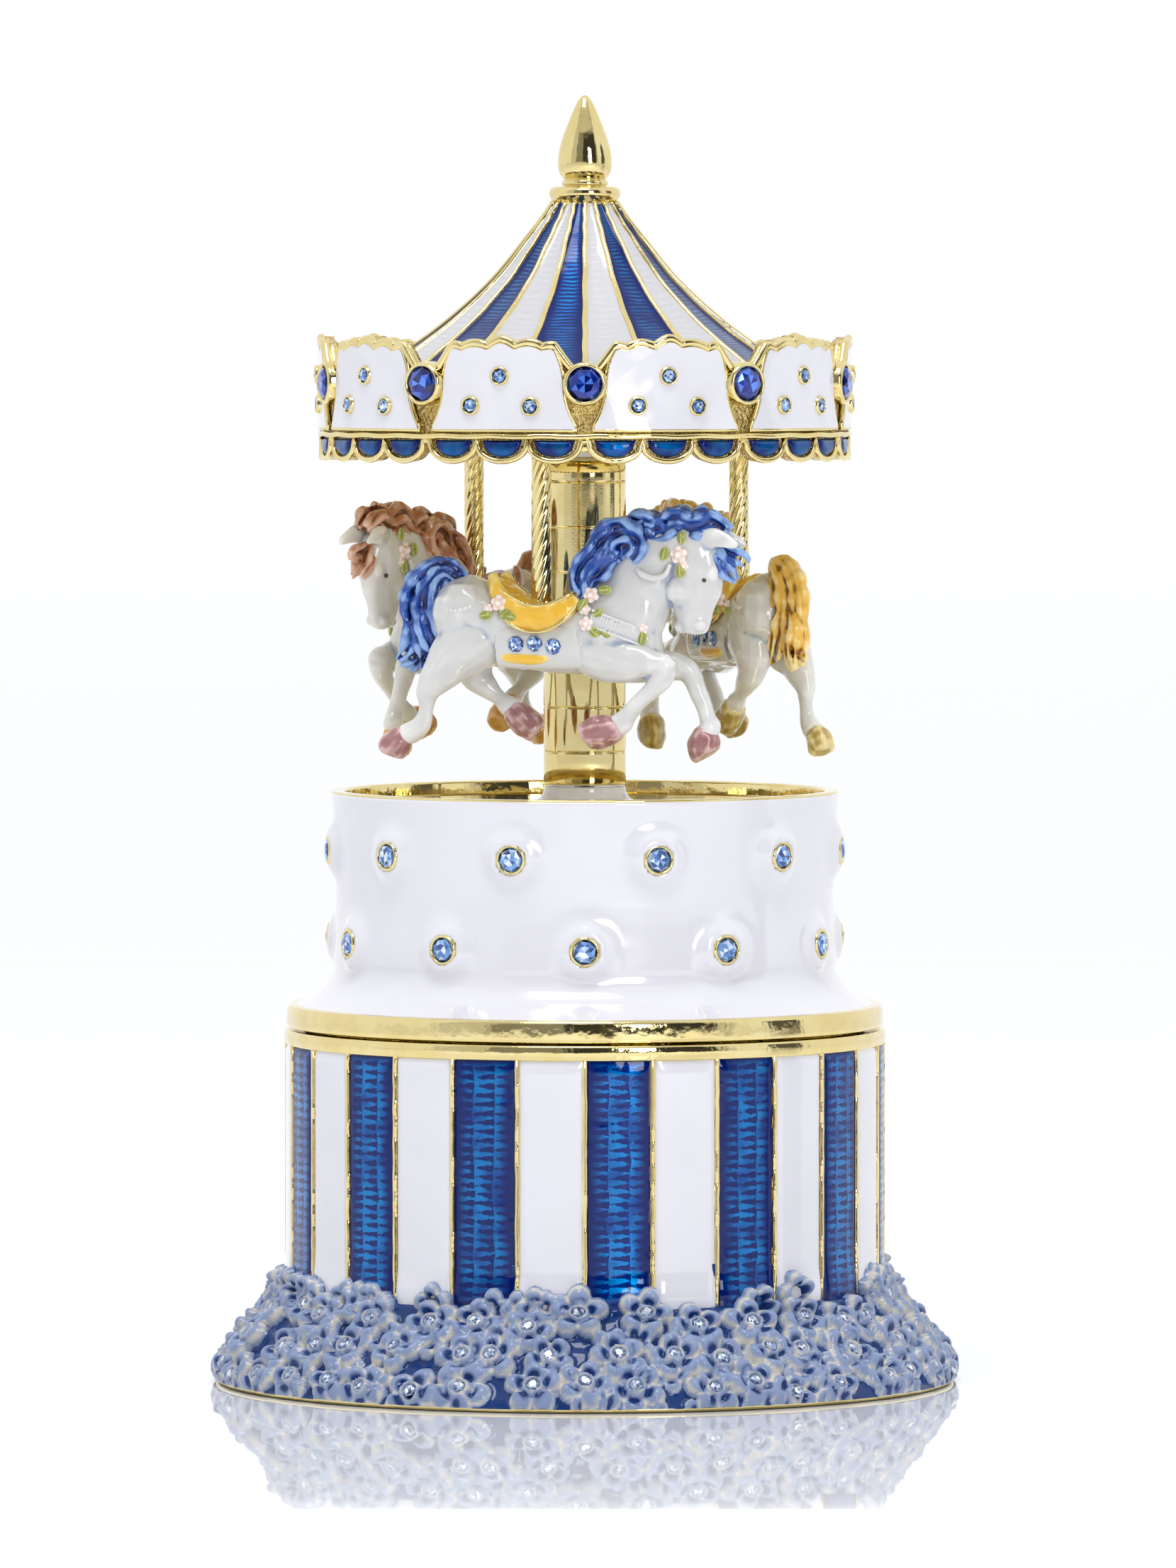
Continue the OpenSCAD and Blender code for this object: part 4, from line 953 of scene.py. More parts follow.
@dataclass
class Drum(Assembly):
    """The striped drum: a gold casting whose cells hold blue and white enamel."""

    radius: float = 42.4
    top: float = 49.8
    foot: float = 3.0
    stripes: int = 28
    ridge: float = 0.62
    dome: float = 0.22

    def build(self) -> None:
        """Builds the casting and its enamel."""
        self.casting()
        self.enamel("blue_stripes", 0, Finishes.BLUE, "blue_stripe_enamel")
        self.enamel("white_stripes", 1, Finishes.WHITE, "white_stripe_enamel")

    def casting(self) -> None:
        """The shell, its top band and the walls between the cells."""
        r, inner = self.radius, self.radius - 2.4
        bm = bmesh.new()
        band = self.top - 2.1
        outline = eased([(inner, 0.6), (inner, self.top - 9.6), (inner - 2.6, self.top - 7.0),
                         (inner - 2.6, self.top - 6.0), (inner, self.top - 6.0), (inner, self.top),
                         (r - 0.05, self.top), (r + 0.1, self.top - 1.0), (r - 0.05, band),
                         (r - 0.6, band - 0.15), (r - 0.62, 1.4), (51.6, 1.0), (52.3, 0.6), (52.0, 0.0),
                         (inner + 0.5, 0.0)], 0.35)
        lathe(bm, outline, 224, closed=True)
        for i in range(self.stripes):
            angle = i * TAU / self.stripes
            lean = [(0.30, r - 0.75), (0.24, r - 0.02), (-0.24, r - 0.02), (-0.30, r - 0.75)]
            verts = [bm.verts.new(spot(angle + w / r, reach, self.foot)) for w, reach in lean]
            face = bm.faces.new(verts)
            rows = 30
            for k in range(rows):
                new = bmesh.ops.extrude_face_region(bm, geom=[face])["geom"]
                ring = [item for item in new if isinstance(item, bmesh.types.BMVert)]
                step = (band + 0.1 - self.foot) / rows
                wander = 0.05 * math.sin(2.1 * k + 1.7 * i) + 0.04 * math.sin(0.9 * k * (1 + i % 3))
                bmesh.ops.translate(bm, vec=Vector((0, 0, step)), verts=ring)
                bmesh.ops.rotate(bm, cent=(0, 0, 0), matrix=Matrix.Rotation(wander / r, 3, "Z"), verts=ring)
                face = next(item for item in new if isinstance(item, bmesh.types.BMFace))
        self.settle(bm, "drum_shell", Finishes.GOLD_RIM, "drum_casting")

    def enamel(self, name: str, first: int, finish: Finish, node: str) -> None:
        """Every second cell's enamel, domed across and curled up where it meets the flowers.

        Args:
            name: the piece's name.
            first: 0 for the blue cells, 1 for the white ones.
            finish: the enamel.
            node: the CAD node that it stands for.
        """
        bm = bmesh.new()
        pool = bm.verts.layers.float.new("pool")
        pitch = TAU / self.stripes
        margin = self.ridge / 2 / self.radius
        low, high = self.foot, self.top - 2.15
        for i in range(first, self.stripes, 2):
            def place(u: float, v: float, i: int = i) -> Vector:
                """The place at two shares, from 0 to 1."""
                side = abs(2 * u - 1)
                edge = min(1.0, (1 - side) * 4.5, (1 - v) * 30)
                reach = self.radius - 0.62 + self.dome + 0.28 * (1 - (1 - edge) ** 2)
                reach += 0.35 * math.exp(-((v * (high - low) - 11.5) / 2.4) ** 2)
                return spot(i * pitch + margin + u * (pitch - 2 * margin), reach, low + v * (high - low))
            faces = sheet(bm, 16, 72, place, lambda u, v: (u, low + v * (high - low)))
            for vert in {vert for face in faces for vert in face.verts}:
                height = (vert.co.z - low) / (high - low)
                vert[pool] = max(0.0, min(1.0, 1 - (height - 0.17) / 0.14), 1 - (1 - height) / 0.03)
        self.settle(bm, name, finish, node)


@dataclass(frozen=True)
class Flower:
    """One flower on the border's slope: its place, turn and size, and whether it holds a crystal."""

    angle: float
    along: float
    spin: float
    size: float
    rise: float
    crystal: bool


@dataclass(frozen=True)
class Slope:
    """The border's slope from its foot up to the drum, in even steps."""

    steps: np.ndarray
    reaches: np.ndarray
    heights: np.ndarray
    way_r: np.ndarray
    way_z: np.ndarray

    def at(self, along: float) -> tuple[float, ...]:
        """The radius, the height and the way out of the slope at a length along it."""
        return tuple(float(np.interp(along, self.steps, row))
                     for row in (self.reaches, self.heights, self.way_r, self.way_z))


@dataclass
class FlowerBorder(Assembly):
    """The cast and glazed mass of five-petalled flowers round the foot, with a crystal in each cup."""

    outline: Sequence[Point] = (
        (52.35, 0.45), (51.8, 1.4), (50.3, 3.3), (48.2, 6.0), (45.9, 8.8), (44.0, 11.2), (43.0, 13.2),
        (42.75, 15.4), (42.7, 19.4))
    back: Sequence[Point] = ((41.6, 19.4), (41.6, 0.6), (52.0, 0.45))
    crest: float = 13.4
    columns: int = 1100
    rows: int = 80
    spacing: float = 7.7
    petal: float = 1.75
    reach: float = 2.55
    fillers: int = 150
    seed: int = 11
    widest: float = 52.9
    lowest: float = 0.3

    def build(self) -> None:
        """Casts the relief and sets the crystals."""
        self.relief()
        self.crystals()

    @cached_property
    def slope(self) -> Slope:
        """The slope, walked in even steps from the foot to the drum."""
        line = np.array(flow(self.outline, 8))
        walked = np.concatenate([[0.0], np.cumsum(np.hypot(*np.diff(line, axis=0).T))])
        steps = np.linspace(0.0, walked[-1], self.rows + 1)
        reaches, heights = np.interp(steps, walked, line[:, 0]), np.interp(steps, walked, line[:, 1])
        tilt_r, tilt_z = np.gradient(reaches), np.gradient(heights)
        size = np.hypot(tilt_r, tilt_z)
        return Slope(steps, reaches, heights, tilt_z / size, -tilt_r / size)

    @cached_property
    def flowers(self) -> list[Flower]:
        """Each flower's place, turn and size: three rows with crystals, then small ones in the gaps."""
        draw = np.random.default_rng(self.seed)
        slope = self.slope
        crest = float(np.interp(self.crest, slope.heights, slope.steps))
        flowers = []
        for row, share in enumerate((0.16, 0.5, 0.84)):
            along = share * crest
            count = int(TAU * slope.at(along)[0] / self.spacing)
            for i in range(count):
                angle = (i + 0.5 * (row % 2) + 0.2 * draw.normal()) * TAU / count
                aside = (math.degrees(angle) + 540) % 360 - 180 - 5
                lift = 2.4 * math.exp(-aside ** 2 / 70.0) if row == 2 else 0.0
                flowers.append(Flower(angle, along + 0.9 * draw.normal() + lift, draw.uniform(0, TAU),
                                      1.0 + 0.06 * draw.normal(), 0.25 * draw.normal(), True))
        for i in range(self.fillers):
            flowers.append(Flower((i + draw.uniform(-0.5, 0.5)) * TAU / self.fillers,
                                  float(draw.choice((0.0, 0.33, 0.67, 0.98))) * crest + 0.6 * draw.normal(),
                                  draw.uniform(0, TAU), draw.uniform(0.62, 0.85), -0.45, False))
        return flowers

    def petals(self, x: np.ndarray, y: np.ndarray, flower: Flower) -> tuple[np.ndarray, np.ndarray]:
        """A flower's height over its own plane, and how high each place stands in its relief.

        Args:
            x: across the flower.
            y: up the flower.
            flower: the flower.

        Returns:
            The height in millimetres, and the relief mark from -1 in the pools, painted dark as shade and
            pooled enamel, to 1 on the rims.
        """
        out, angle, step = np.hypot(x, y), np.arctan2(y, x), TAU / 5
        near = np.round(angle / step) * step
        dx, dy = x - self.reach * np.cos(near), y - self.reach * np.sin(near)
        d = np.hypot(dx, dy)
        inward = np.hypot(dx + 1.05 * np.cos(near), dy + 1.05 * np.sin(near))
        body = np.clip(1 - (d / self.petal) ** 4, 0.0, 1.0)
        notch = np.exp(-(inward / 0.85) ** 2)
        rim = np.exp(-((d - self.petal * 0.82) / 0.2) ** 2)
        height = body * (2.0 - 0.25 * d + 0.16 * x) - 1.3 * notch
        # Low marks in the notches and round the petals give painted shade with pooled enamel; the rim's high
        # mark gives its cream edge.
        mark = np.where(body > 0.02, 0.62 * body ** 0.5 - 0.45 + 0.95 * rim - 1.6 * notch, -1.0)
        if flower.crystal:
            ring = np.exp(-((out - 1.15) / 0.36) ** 2)
            height = np.maximum(height * (out > 1.2), 2.1 * ring)
            mark = np.where(ring > 0.4, 0.9 * ring - 0.3, np.where(out < 1.0, -1.0, mark))
        return height + flower.rise * body, mark

    def fields(self, across: np.ndarray) -> tuple[np.ndarray, np.ndarray]:
        """How far the relief stands out of the slope, and its mark, row by row.

        Args:
            across: the angle of each column.

        Returns:
            The height in millimetres and the mark, each with a row for a step up the slope.
        """
        slope = self.slope
        ground = np.where(slope.heights < self.crest, 0.0, -1.1)[:, None]
        lumps = np.array([[noise.noise(Vector((9 * math.cos(a), 9 * math.sin(a), k * 0.12))) for a in across]
                          for k in range(self.rows + 1)])
        raised = ground + (0.35 * lumps + 0.5 * np.sin(17 * across)[None, :] * (ground < 0))
        # The ground between the flowers starts at the darkest mark: painted shade with pooled enamel.
        marks = np.full_like(raised, -1.0)
        for flower in self.flowers:
            away = (across - flower.angle + math.pi) % TAU - math.pi
            some = np.flatnonzero(np.abs(away) < 4.9 / 43.0)
            x = away[some][None, :] * slope.reaches[:, None]
            y = np.repeat((slope.steps - flower.along)[:, None], len(some), axis=1)
            c, k = math.cos(flower.spin) / flower.size, math.sin(flower.spin) / flower.size
            height, mark = self.petals(x * c + y * k, y * c - x * k, flower)
            inside = (height > raised[:, some] + 0.02) & (height > 0.06)
            raised[:, some] = np.where(inside, height, raised[:, some])
            marks[:, some] = np.where(inside, mark, marks[:, some])
        for grid in (raised, marks):
            beside = np.roll(grid, 1, 1) + np.roll(grid, -1, 1)
            below, above = np.vstack([grid[:1], grid[:-1]]), np.vstack([grid[1:], grid[-1:]])
            grid[:] = 0.5 * grid + 0.125 * (beside + below + above)
        return raised * np.clip(slope.steps, 0.15, 1.0)[:, None], marks

    def relief(self) -> None:
        """The whole border as one cast and glazed surface."""
        slope = self.slope
        across = np.arange(self.columns) * TAU / self.columns
        raised, marks = self.fields(across)
        rows = self.rows + len(self.back)

        def place(u: float, v: float) -> Vector:
            """The place at two shares, from 0 to 1."""
            j, i = round(u * self.columns) % self.columns, round(v * rows)
            if i > self.rows:
                return spot(across[j], *self.back[i - self.rows - 1])
            r = slope.reaches[i] + raised[i, j] * slope.way_r[i]
            z = slope.heights[i] + raised[i, j] * slope.way_z[i]
            return spot(across[j], min(r, self.widest), max(self.lowest, z))
        bm = bmesh.new()
        layer = bm.verts.layers.float.new("relief")
        sheet(bm, self.columns, rows, place)
        levels = bm.loops.layers.uv.get("UVMap")
        for vert in bm.verts:
            u, v = vert.link_loops[0][levels].uv
            i = round(v * rows)
            vert[layer] = marks[i, round(u * self.columns) % self.columns] if i <= self.rows else -1.0
        weld(bm)
        self.settle(bm, "flower_relief", Finishes.PETAL, "flower_border", "flowers")

    def crystals(self) -> None:
        """The crystal in each flower's cup."""
        bm = bmesh.new()
        for i, flower in enumerate(f for f in self.flowers if f.crystal):
            r, z, way_r, way_z = self.slope.at(flower.along)
            rise = (1.35 + flower.rise * 0.2) * min(1.0, flower.along)
            cup = spot(flower.angle, r + way_r * rise, z + way_z * rise)
            seat = facing(cup, spot(flower.angle, way_r, way_z), i)
            brilliant(bm, 1.0, seat, 300 + i, 6)
        for vert in bm.verts:
            vert.co.z = max(vert.co.z, self.lowest)
        self.settle(bm, "flower_stones", Finishes.FLOWER_CRYSTAL, "flower_crystals", smooth=False)


# ---------------------------------------------------------------- tier

@dataclass
class Tier(Assembly):
    """The white enamelled tier that winds the movement."""

    body: str = "tier"
    radius: float = 35.4
    flange: float = 42.1
    bottom: float = 50.1
    step: float = 53.2
    rim: float = 83.4
    floor: float = 81.4
    stones: int = 11
    stone: float = 1.7
    rows: Sequence[float] = (62.4, 75.1)

    def build(self) -> None:
        """Builds the tier's metal, enamel and stones."""
        self.flange_ring()
        self.skin()
        self.rim_ring()
        self.inner_floor()
        self.settings()
        self.foot_bush()

    def places(self) -> list[tuple[float, float]]:
        """Each stone's angle and height."""
        return [((i + 0.5 * row) * TAU / self.stones, height)
                for row, height in enumerate(self.rows) for i in range(self.stones)]

    def outline(self, height: float) -> float:
        """The enamel's radius at a height."""
        up = height - self.step
        flare = 5.2 * max(0.0, 1 - up / 6.2) ** 2.2
        belly = 0.25 * math.cos(up / (self.rim - self.step) * TAU)
        return self.radius + flare + belly * (up > 6) + 0.2 * max(0.0, (height - 78) / 5) ** 2

    def flange_ring(self) -> None:
        """The gold flange and the wall hidden behind the enamel."""
        wall = self.radius - 1.6
        bm = bmesh.new()
        lathe(bm, eased([(38.1, 44.8), (39.5, 44.8), (39.5, self.bottom), (self.flange - 0.1, self.bottom),
                         (self.flange + 0.05, self.bottom + 0.5), (self.flange, self.step - 0.5),
                         (self.flange - 0.3, self.step), (40.2, self.step + 0.05), (wall, self.step + 3),
                         (wall, self.floor - 1), (32.0, self.floor - 1), (32.0, 55.0), (30.8, 54.5),
                         (30.8, 51.1), (38.1, 51.1)], 0.3), 224, closed=True)
        self.settle(bm, "tier_flange", Finishes.GOLD_RIM, "tier_casting")

    def skin(self) -> None:
        """The white enamel, swollen round each stone."""
        stones = self.places()
        low, high = self.step - 0.1, self.rim - 0.35

        def place(u: float, v: float) -> Vector:
            """The place at two shares, from 0 to 1."""
            height = low + v * (high - low)
            angle = u * TAU
            reach = self.outline(height)
            for at, level in stones:
                near = (angle - at + math.pi) % TAU - math.pi
                apart = math.hypot(near * self.radius, height - level)
                if apart < 7:
                    reach += 1.2 * math.exp(-(max(0.0, apart - 2.2) / 1.7) ** 2) - (1.0 if apart < 1.9 else 0.0)
            return spot(angle, reach, height)
        bm = bmesh.new()
        sheet(bm, 528, 80, place)
        weld(bm)
        edge = [e for e in bm.edges if e.is_boundary and e.verts[0].co.z > 80]
        for drop, radius in ((0.05, 35.0), (-0.3, 34.7)):
            edge, verts = drawn_out(bm, edge)
            for vert in verts:
                flat = math.hypot(vert.co.x, vert.co.y)
                vert.co = Vector((vert.co.x * radius / flat, vert.co.y * radius / flat, self.rim - 0.35 + drop))
        self.settle(bm, "tier_skin", Finishes.WHITE, "tier_enamel")

    def rim_ring(self) -> None:
        """The thin gold edge round the top and the wall inside it."""
        bm = bmesh.new()
        outer = self.outline(self.rim)
        lathe(bm, eased([(33.9, self.floor), (33.9, self.rim - 0.2), (34.2, self.rim),
                         (outer - 0.15, self.rim), (outer + 0.02, self.rim - 0.2),
                         (outer - 0.1, self.rim - 0.42), (34.6, self.rim - 0.5)], 0.2), 224)
        self.settle(bm, "tier_rim", Finishes.GOLD_RIM)

    def inner_floor(self) -> None:
        """The polished floor inside the rim."""
        bm = bmesh.new()
        lathe(bm, eased([(4.6, self.floor - 1.5), (4.6, self.floor), (7.8, self.floor),
                         (8.2, self.floor + 0.12), (8.6, self.floor), (24.0, self.floor + 0.05),
                         (33.6, self.floor), (34.05, self.floor + 0.3), (34.05, self.floor - 1.5)],
                        0.15), 192, closed=True)
        self.settle(bm, "tier_plate", Finishes.GOLD_TUBE, "tier_floor")

    def settings(self) -> None:
        """The stones and their gold cups."""
        cups, stones = bmesh.new(), bmesh.new()
        for i, (angle, height) in enumerate(self.places()):
            seat = facing(spot(angle, self.radius + 0.95, height), spot(angle, 1, 0), 0.4 * i)
            collet(cups, self.stone, seat, 0.45, 0.4, 2.0)
            brilliant(stones, self.stone, seat @ Matrix.Translation((0, 0, 0.05)), i)
        self.settle(cups, "tier_cups", Finishes.GOLD_RIM, "tier_crystal_settings")
        self.settle(stones, "tier_stones", Finishes.CRYSTAL, "tier_crystals", smooth=False)

    def foot_bush(self) -> None:
        """The white bush that the column turns on."""
        bm = bmesh.new()
        z = self.floor
        lathe(bm, eased([(1.56, z - 1.5), (4.55, z - 1.5), (4.55, z + 0.02), (7.5, z + 0.02),
                         (7.3, z + 0.35), (6.3, z + 0.9), (5.85, z + 1.7), (5.7, z + 2.55),
                         (1.56, z + 2.55)], 0.3), 96, closed=True)
        self.settle(bm, "column_bush", Finishes.NYLON, "column_foot_bush")


# ---------------------------------------------------------------- canopy

@dataclass
class Column(Assembly):
    """The gold column, its white hubs and the three twisted poles."""

    body: str = "carousel"
    radius: float = 5.8
    low: float = 84.15
    high: float = 130.35
    grooves: int = 7
    groove_gap: float = 6.35
    first_groove: float = 126.9
    pole_radius: float = 1.4
    orbit: float = 22.5
    strands: int = 9

    def build(self) -> None:
        """Builds the tube, the hubs and the poles."""
        bm = bmesh.new()
        outline: list[Point] = [(5.2, self.high), (self.radius - 0.1, self.high)]
        for k in range(self.grooves):
            z = self.first_groove - k * self.groove_gap
            outline += [(self.radius, z + w) for w in (1.2, 0.5, 0.24, 0.15)]
            outline += [(self.radius - 0.12, z + 0.05), (self.radius - 0.12, z - 0.05)]
            outline += [(self.radius, z - w) for w in (0.15, 0.24, 0.5, 1.2)]
        outline += [(self.radius, self.low + 0.5), (self.radius - 0.1, self.low), (5.2, self.low)]
        lathe(bm, outline, 128, closed=True)
        self.settle(bm, "column_tube", Finishes.GOLD_TUBE, "column")
        bm = bmesh.new()
        lathe(bm, eased([(1.52, self.low), (5.15, self.low), (5.15, self.low + 6),
                         (1.52, self.low + 6)], 0.2), 64, closed=True)
        lathe(bm, eased([(1.52, self.high - 6), (5.15, self.high - 6), (5.15, self.high + 0.05),
                         (5.9, self.high + 0.05), (6.2, self.high + 0.9),
                         (1.52, self.high + 0.95)], 0.2), 64, closed=True)
        self.settle(bm, "column_bushes", Finishes.NYLON, "column_hubs")

    def poles(self, turns: Sequence[float], foot: float, top: float) -> None:
        """The twisted poles.

        Args:
            turns: each pole's angle round the axis.
            foot: the height where a pole goes into its saddle.
            top: the height of the ceiling.
        """
        bm = bmesh.new()
        for turn in turns:
            centre = spot(turn, self.orbit, 0)

            def place(u: float, v: float) -> Vector:
                """The place at two shares, from 0 to 1."""
                height = foot + v * (top - foot)
                angle = u * TAU
                lobe = abs(math.sin(self.strands / 2 * (angle - height / 19.0 * TAU)))
                reach = self.pole_radius * (0.87 + 0.13 * lobe ** 0.7)
                return centre + Vector((reach * math.cos(angle), reach * math.sin(angle), height))
            sheet(bm, 72, 90, place)
        weld(bm)
        bmesh.ops.holes_fill(bm, edges=[e for e in bm.edges if e.is_boundary], sides=100)
        self.settle(bm, "twisted_poles", Finishes.GOLD, "poles")


@dataclass
class Crown(Assembly):
    """The crown round the canopy: panels, scallops, gems and small stones."""

    body: str = "carousel"
    radius: float = 37.3
    panels: int = 10
    band: float = 133.8
    peak: float = 147.3
    valley: float = 142.4
    gem_height: float = 140.9
    gem: float = 2.4
    stone: float = 1.0
    tip: float = 129.9
    scallop_step: float = 0.319

    def build(self) -> None:
        """Builds the ring, its beads, enamel and stones."""
        self.ring()
        self.beads()
        self.panel_enamel()
        self.scallop_enamel()
        self.gems()
        self.small_stones()
        self.ceiling()

    def pitch(self) -> float:
        """One panel's angle."""
        return TAU / self.panels

    def share(self, angle: float) -> float:
        """How far an angle is from its panel's middle, from -1 at one gem to 1 at the next."""
        within = (angle / self.pitch()) % 1.0
        return 2 * within - 1

    def top(self, angle: float) -> float:
        """The crown's top edge: five soft lobes on each panel, falling to a gem on both sides.

        Args:
            angle: the angle round the axis.

        Returns:
            The edge's height.
        """
        s = self.share(angle)
        v = abs(s)
        wander = 0.12 * math.sin(angle * 23) + 0.1 * math.sin(angle * 37 + 1)
        lobes = 0.75 * abs(math.cos(v * math.pi * 3.0)) ** 0.8 + 0.45 * math.exp(-(v / 0.13) ** 2)
        if v < 0.62:
            level = self.peak - 0.75 - 1.1 * v ** 2 + lobes * 0.8
        else:
            fall = (v - 0.62) / 0.38
            level = self.peak - 0.95 - (self.peak - self.valley - 1.0) * (1 - (1 - fall) ** 1.5)
            level += lobes * (1 - fall) * 0.8
        return level + wander * (1 - v)

    def scallop(self, angle: float) -> tuple[float, float]:
        """The scallop at an angle: the share across it, from -1 to 1, and how far it hangs, from 0 to 1."""
        s = self.share(angle) * 0.5 / self.scallop_step
        near = max(-1, min(1, round(s)))
        across = max(-1.0, min(1.0, (s - near) * 2.06))
        return across, math.sqrt(max(0.0, 1 - across * across))

    def bottom(self, angle: float) -> float:
        """The crown's lower edge: three scallops on each panel."""
        return self.band - 1.1 - (self.band - 1.1 - self.tip) * self.scallop(angle)[1] ** 0.8

    def ring(self) -> None:
        """The cast ring, stippled where no enamel covers it."""
        def place(u: float, v: float) -> Vector:
            """The place at two shares, from 0 to 1."""
            angle = u * TAU
            low, high = self.bottom(angle) + 0.15, self.top(angle) - 0.2
            return spot(angle, self.radius - 0.45, low + v * (high - low))
        bm = bmesh.new()
        sheet(bm, 720, 16, place)
        weld(bm)
        bmesh.ops.recalc_face_normals(bm, faces=bm.faces)
        bmesh.ops.solidify(bm, geom=bm.faces[:], thickness=1.5)
        self.settle(bm, "crown_shell", Finishes.GOLD_PIT, "crown_ring")

    def beads(self) -> None:
        """The rounded gold edges: along the top, round each panel and scallop, and the line between them."""
        bm = bmesh.new()
        around = [i / 1200 * TAU for i in range(1200)]
        cord(bm, [spot(a, self.radius - 0.15, self.top(a) - 0.4) for a in around], 0.6, 10)
        cord(bm, [spot(a, self.radius - 1.15, self.top(a) - 0.75) for a in around], 0.5, 8)
        line = self.band - 0.15
        cord(bm, [spot(a, self.radius, line + 0.06 * math.sin(a * 31)) for a in around[::2]], 0.42, 8)
        cord(bm, [spot(a, self.radius - 0.15, self.bottom(a) + 0.35) for a in around], 0.42, 8)
        for p in range(self.panels):
            outline = self.panel_outline(p, 1.0)
            cord(bm, [spot(a, self.radius + 0.05, z) for a, z in outline], 0.36, 8)
        self.settle(bm, "crown_beads", Finishes.GOLD_RIM)

    def panel_outline(self, panel: int, size: float) -> list[Point]:
        """A panel's enamel outline.

        Args:
            panel: the panel's number.
            size: how far it is shrunk towards its middle.

        Returns:
            The outline as angles and heights.
        """
        middle = (panel + 0.5) * self.pitch()
        half = self.pitch() / 2
        low = self.band + 0.75
        steps = 44
        upper = []
        for i in range(steps + 1):
            s = 2 * i / steps - 1
            angle = middle + s * half * 0.71
            upper.append((angle, self.top(angle) - 0.95 - 0.9 * max(0.0, (abs(s) - 0.86) / 0.14) ** 2))
        right = [(middle + half * share, z) for share, z in (
            (0.735, 142.4), (0.745, 141.4), (0.75, 140.4), (0.755, 139.4), (0.77, 138.4), (0.795, 137.4),
            (0.825, 136.5), (0.86, 135.7), (0.89, 135.1), (0.905, low), (0.7, low), (0.5, low), (0.3, low),
            (0.1, low))]
        outline = [*upper, *right, *reversed([(2 * middle - a, z) for a, z in right])]
        centre = (middle, self.band + 6.2)
        return [(centre[0] + (a - centre[0]) * size, centre[1] + (z - centre[1]) * size) for a, z in outline]

    def panel_enamel(self) -> None:
        """The domed white enamel of the ten panels."""
        bm = bmesh.new()
        for p in range(self.panels):
            rim = self.panel_outline(p, 0.985)
            verts = [bm.verts.new(spot(a, self.radius - 0.2, z)) for a, z in rim]
            face = bm.faces.new(verts)
            faces = [face]
            for inset, rise in ((0.35, 0.34), (0.45, 0.16), (1.2, 0.1)):
                bmesh.ops.inset_region(bm, faces=faces, thickness=inset, depth=0.0, use_even_offset=True)
                for vert in face.verts:
                    flat = math.hypot(vert.co.x, vert.co.y)
                    grow = (flat + rise) / flat
                    vert.co.x *= grow
                    vert.co.y *= grow
        bmesh.ops.triangulate(bm, faces=[f for f in bm.faces if len(f.verts) > 4])
        self.settle(bm, "crown_panels", Finishes.PANEL, "crown_enamel")

    def scallop_enamel(self) -> None:
        """The blue half-rounds under the gold line."""
        bm = bmesh.new()
        step = self.pitch() * self.scallop_step
        for p in range(self.panels):
            for k in (-1, 0, 1):
                middle = (p + 0.5) * self.pitch() + k * step

                def place(u: float, v: float) -> Vector:
                    """The place at two shares, from 0 to 1."""
                    x = 2 * u - 1
                    drop = math.sqrt(max(0.0, 1 - x * x)) ** 0.9
                    low = self.band - 0.75 - 2.25 * drop
                    edge = min(1.0, (1 - abs(x)) * 4, v * 4 * drop + 0.05, (1 - v) * 5)
                    return spot(middle + x * step * 0.385, self.radius - 0.35 + 0.5 * edge ** 0.5,
                                low + v * (self.band - 0.7 - low))
                sheet(bm, 14, 6, place, lambda u, v: (u, 3 * v))
        self.settle(bm, "scallops", Finishes.SCALLOP_BLUE, "scallop_enamel")

    def gems(self) -> None:
        """The ten large gems in their cups, each over a pointed pit."""
        cups, stones = bmesh.new(), bmesh.new()
        for p in range(self.panels):
            angle = p * self.pitch()
            seat = facing(spot(angle, self.radius + 0.85, self.gem_height), spot(angle, 1, 0), 0.3 * p)
            collet(cups, self.gem, seat, 0.62, 0.6, 2.2, 40)
            brilliant(stones, self.gem, seat @ Matrix.Translation((0, 0, 0.05)), 40 + p, 8)
        self.settle(cups, "gem_cups", Finishes.GOLD_RIM, "crown_gem_settings")
        self.settle(stones, "gems", Finishes.DEEP_CRYSTAL, "crown_gems", smooth=False)

    def small_stones(self) -> None:
        """Three small stones on each panel."""
        cups, stones = bmesh.new(), bmesh.new()
        for p in range(self.panels):
            for k, (w, z) in enumerate(((-4.4, 137.9), (-0.1, 142.0), (4.2, 137.8))):
                angle = (p + 0.5) * self.pitch() + w / self.radius
                seat = facing(spot(angle, self.radius + 0.55, z), spot(angle, 1, 0), 0.5 * p + k)
                collet(cups, self.stone, seat, 0.32, 0.3, 0.6, 20)
                brilliant(stones, self.stone, seat, 80 + 3 * p + k, 6)
        self.settle(cups, "small_cups", Finishes.GOLD_RIM, "crown_crystal_settings")
        self.settle(stones, "small_stones", Finishes.CRYSTAL, "crown_crystals", smooth=False)

    def ceiling(self) -> None:
        """The gold ceiling that the poles and the column go into."""
        bm = bmesh.new()
        low, high = (c.z / MM for c in map(Vector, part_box("canopy_ceiling")))
        lathe(bm, eased([(1.55, low), (8.0, low), (8.6, low - 0.1), (9.4, low), (33.0, low),
                         (35.1, low + 0.1), (35.1, high), (1.55, high)], 0.2), 160, closed=True)
        self.settle(bm, "ceiling", Finishes.GOLD_TUBE, "canopy_ceiling")


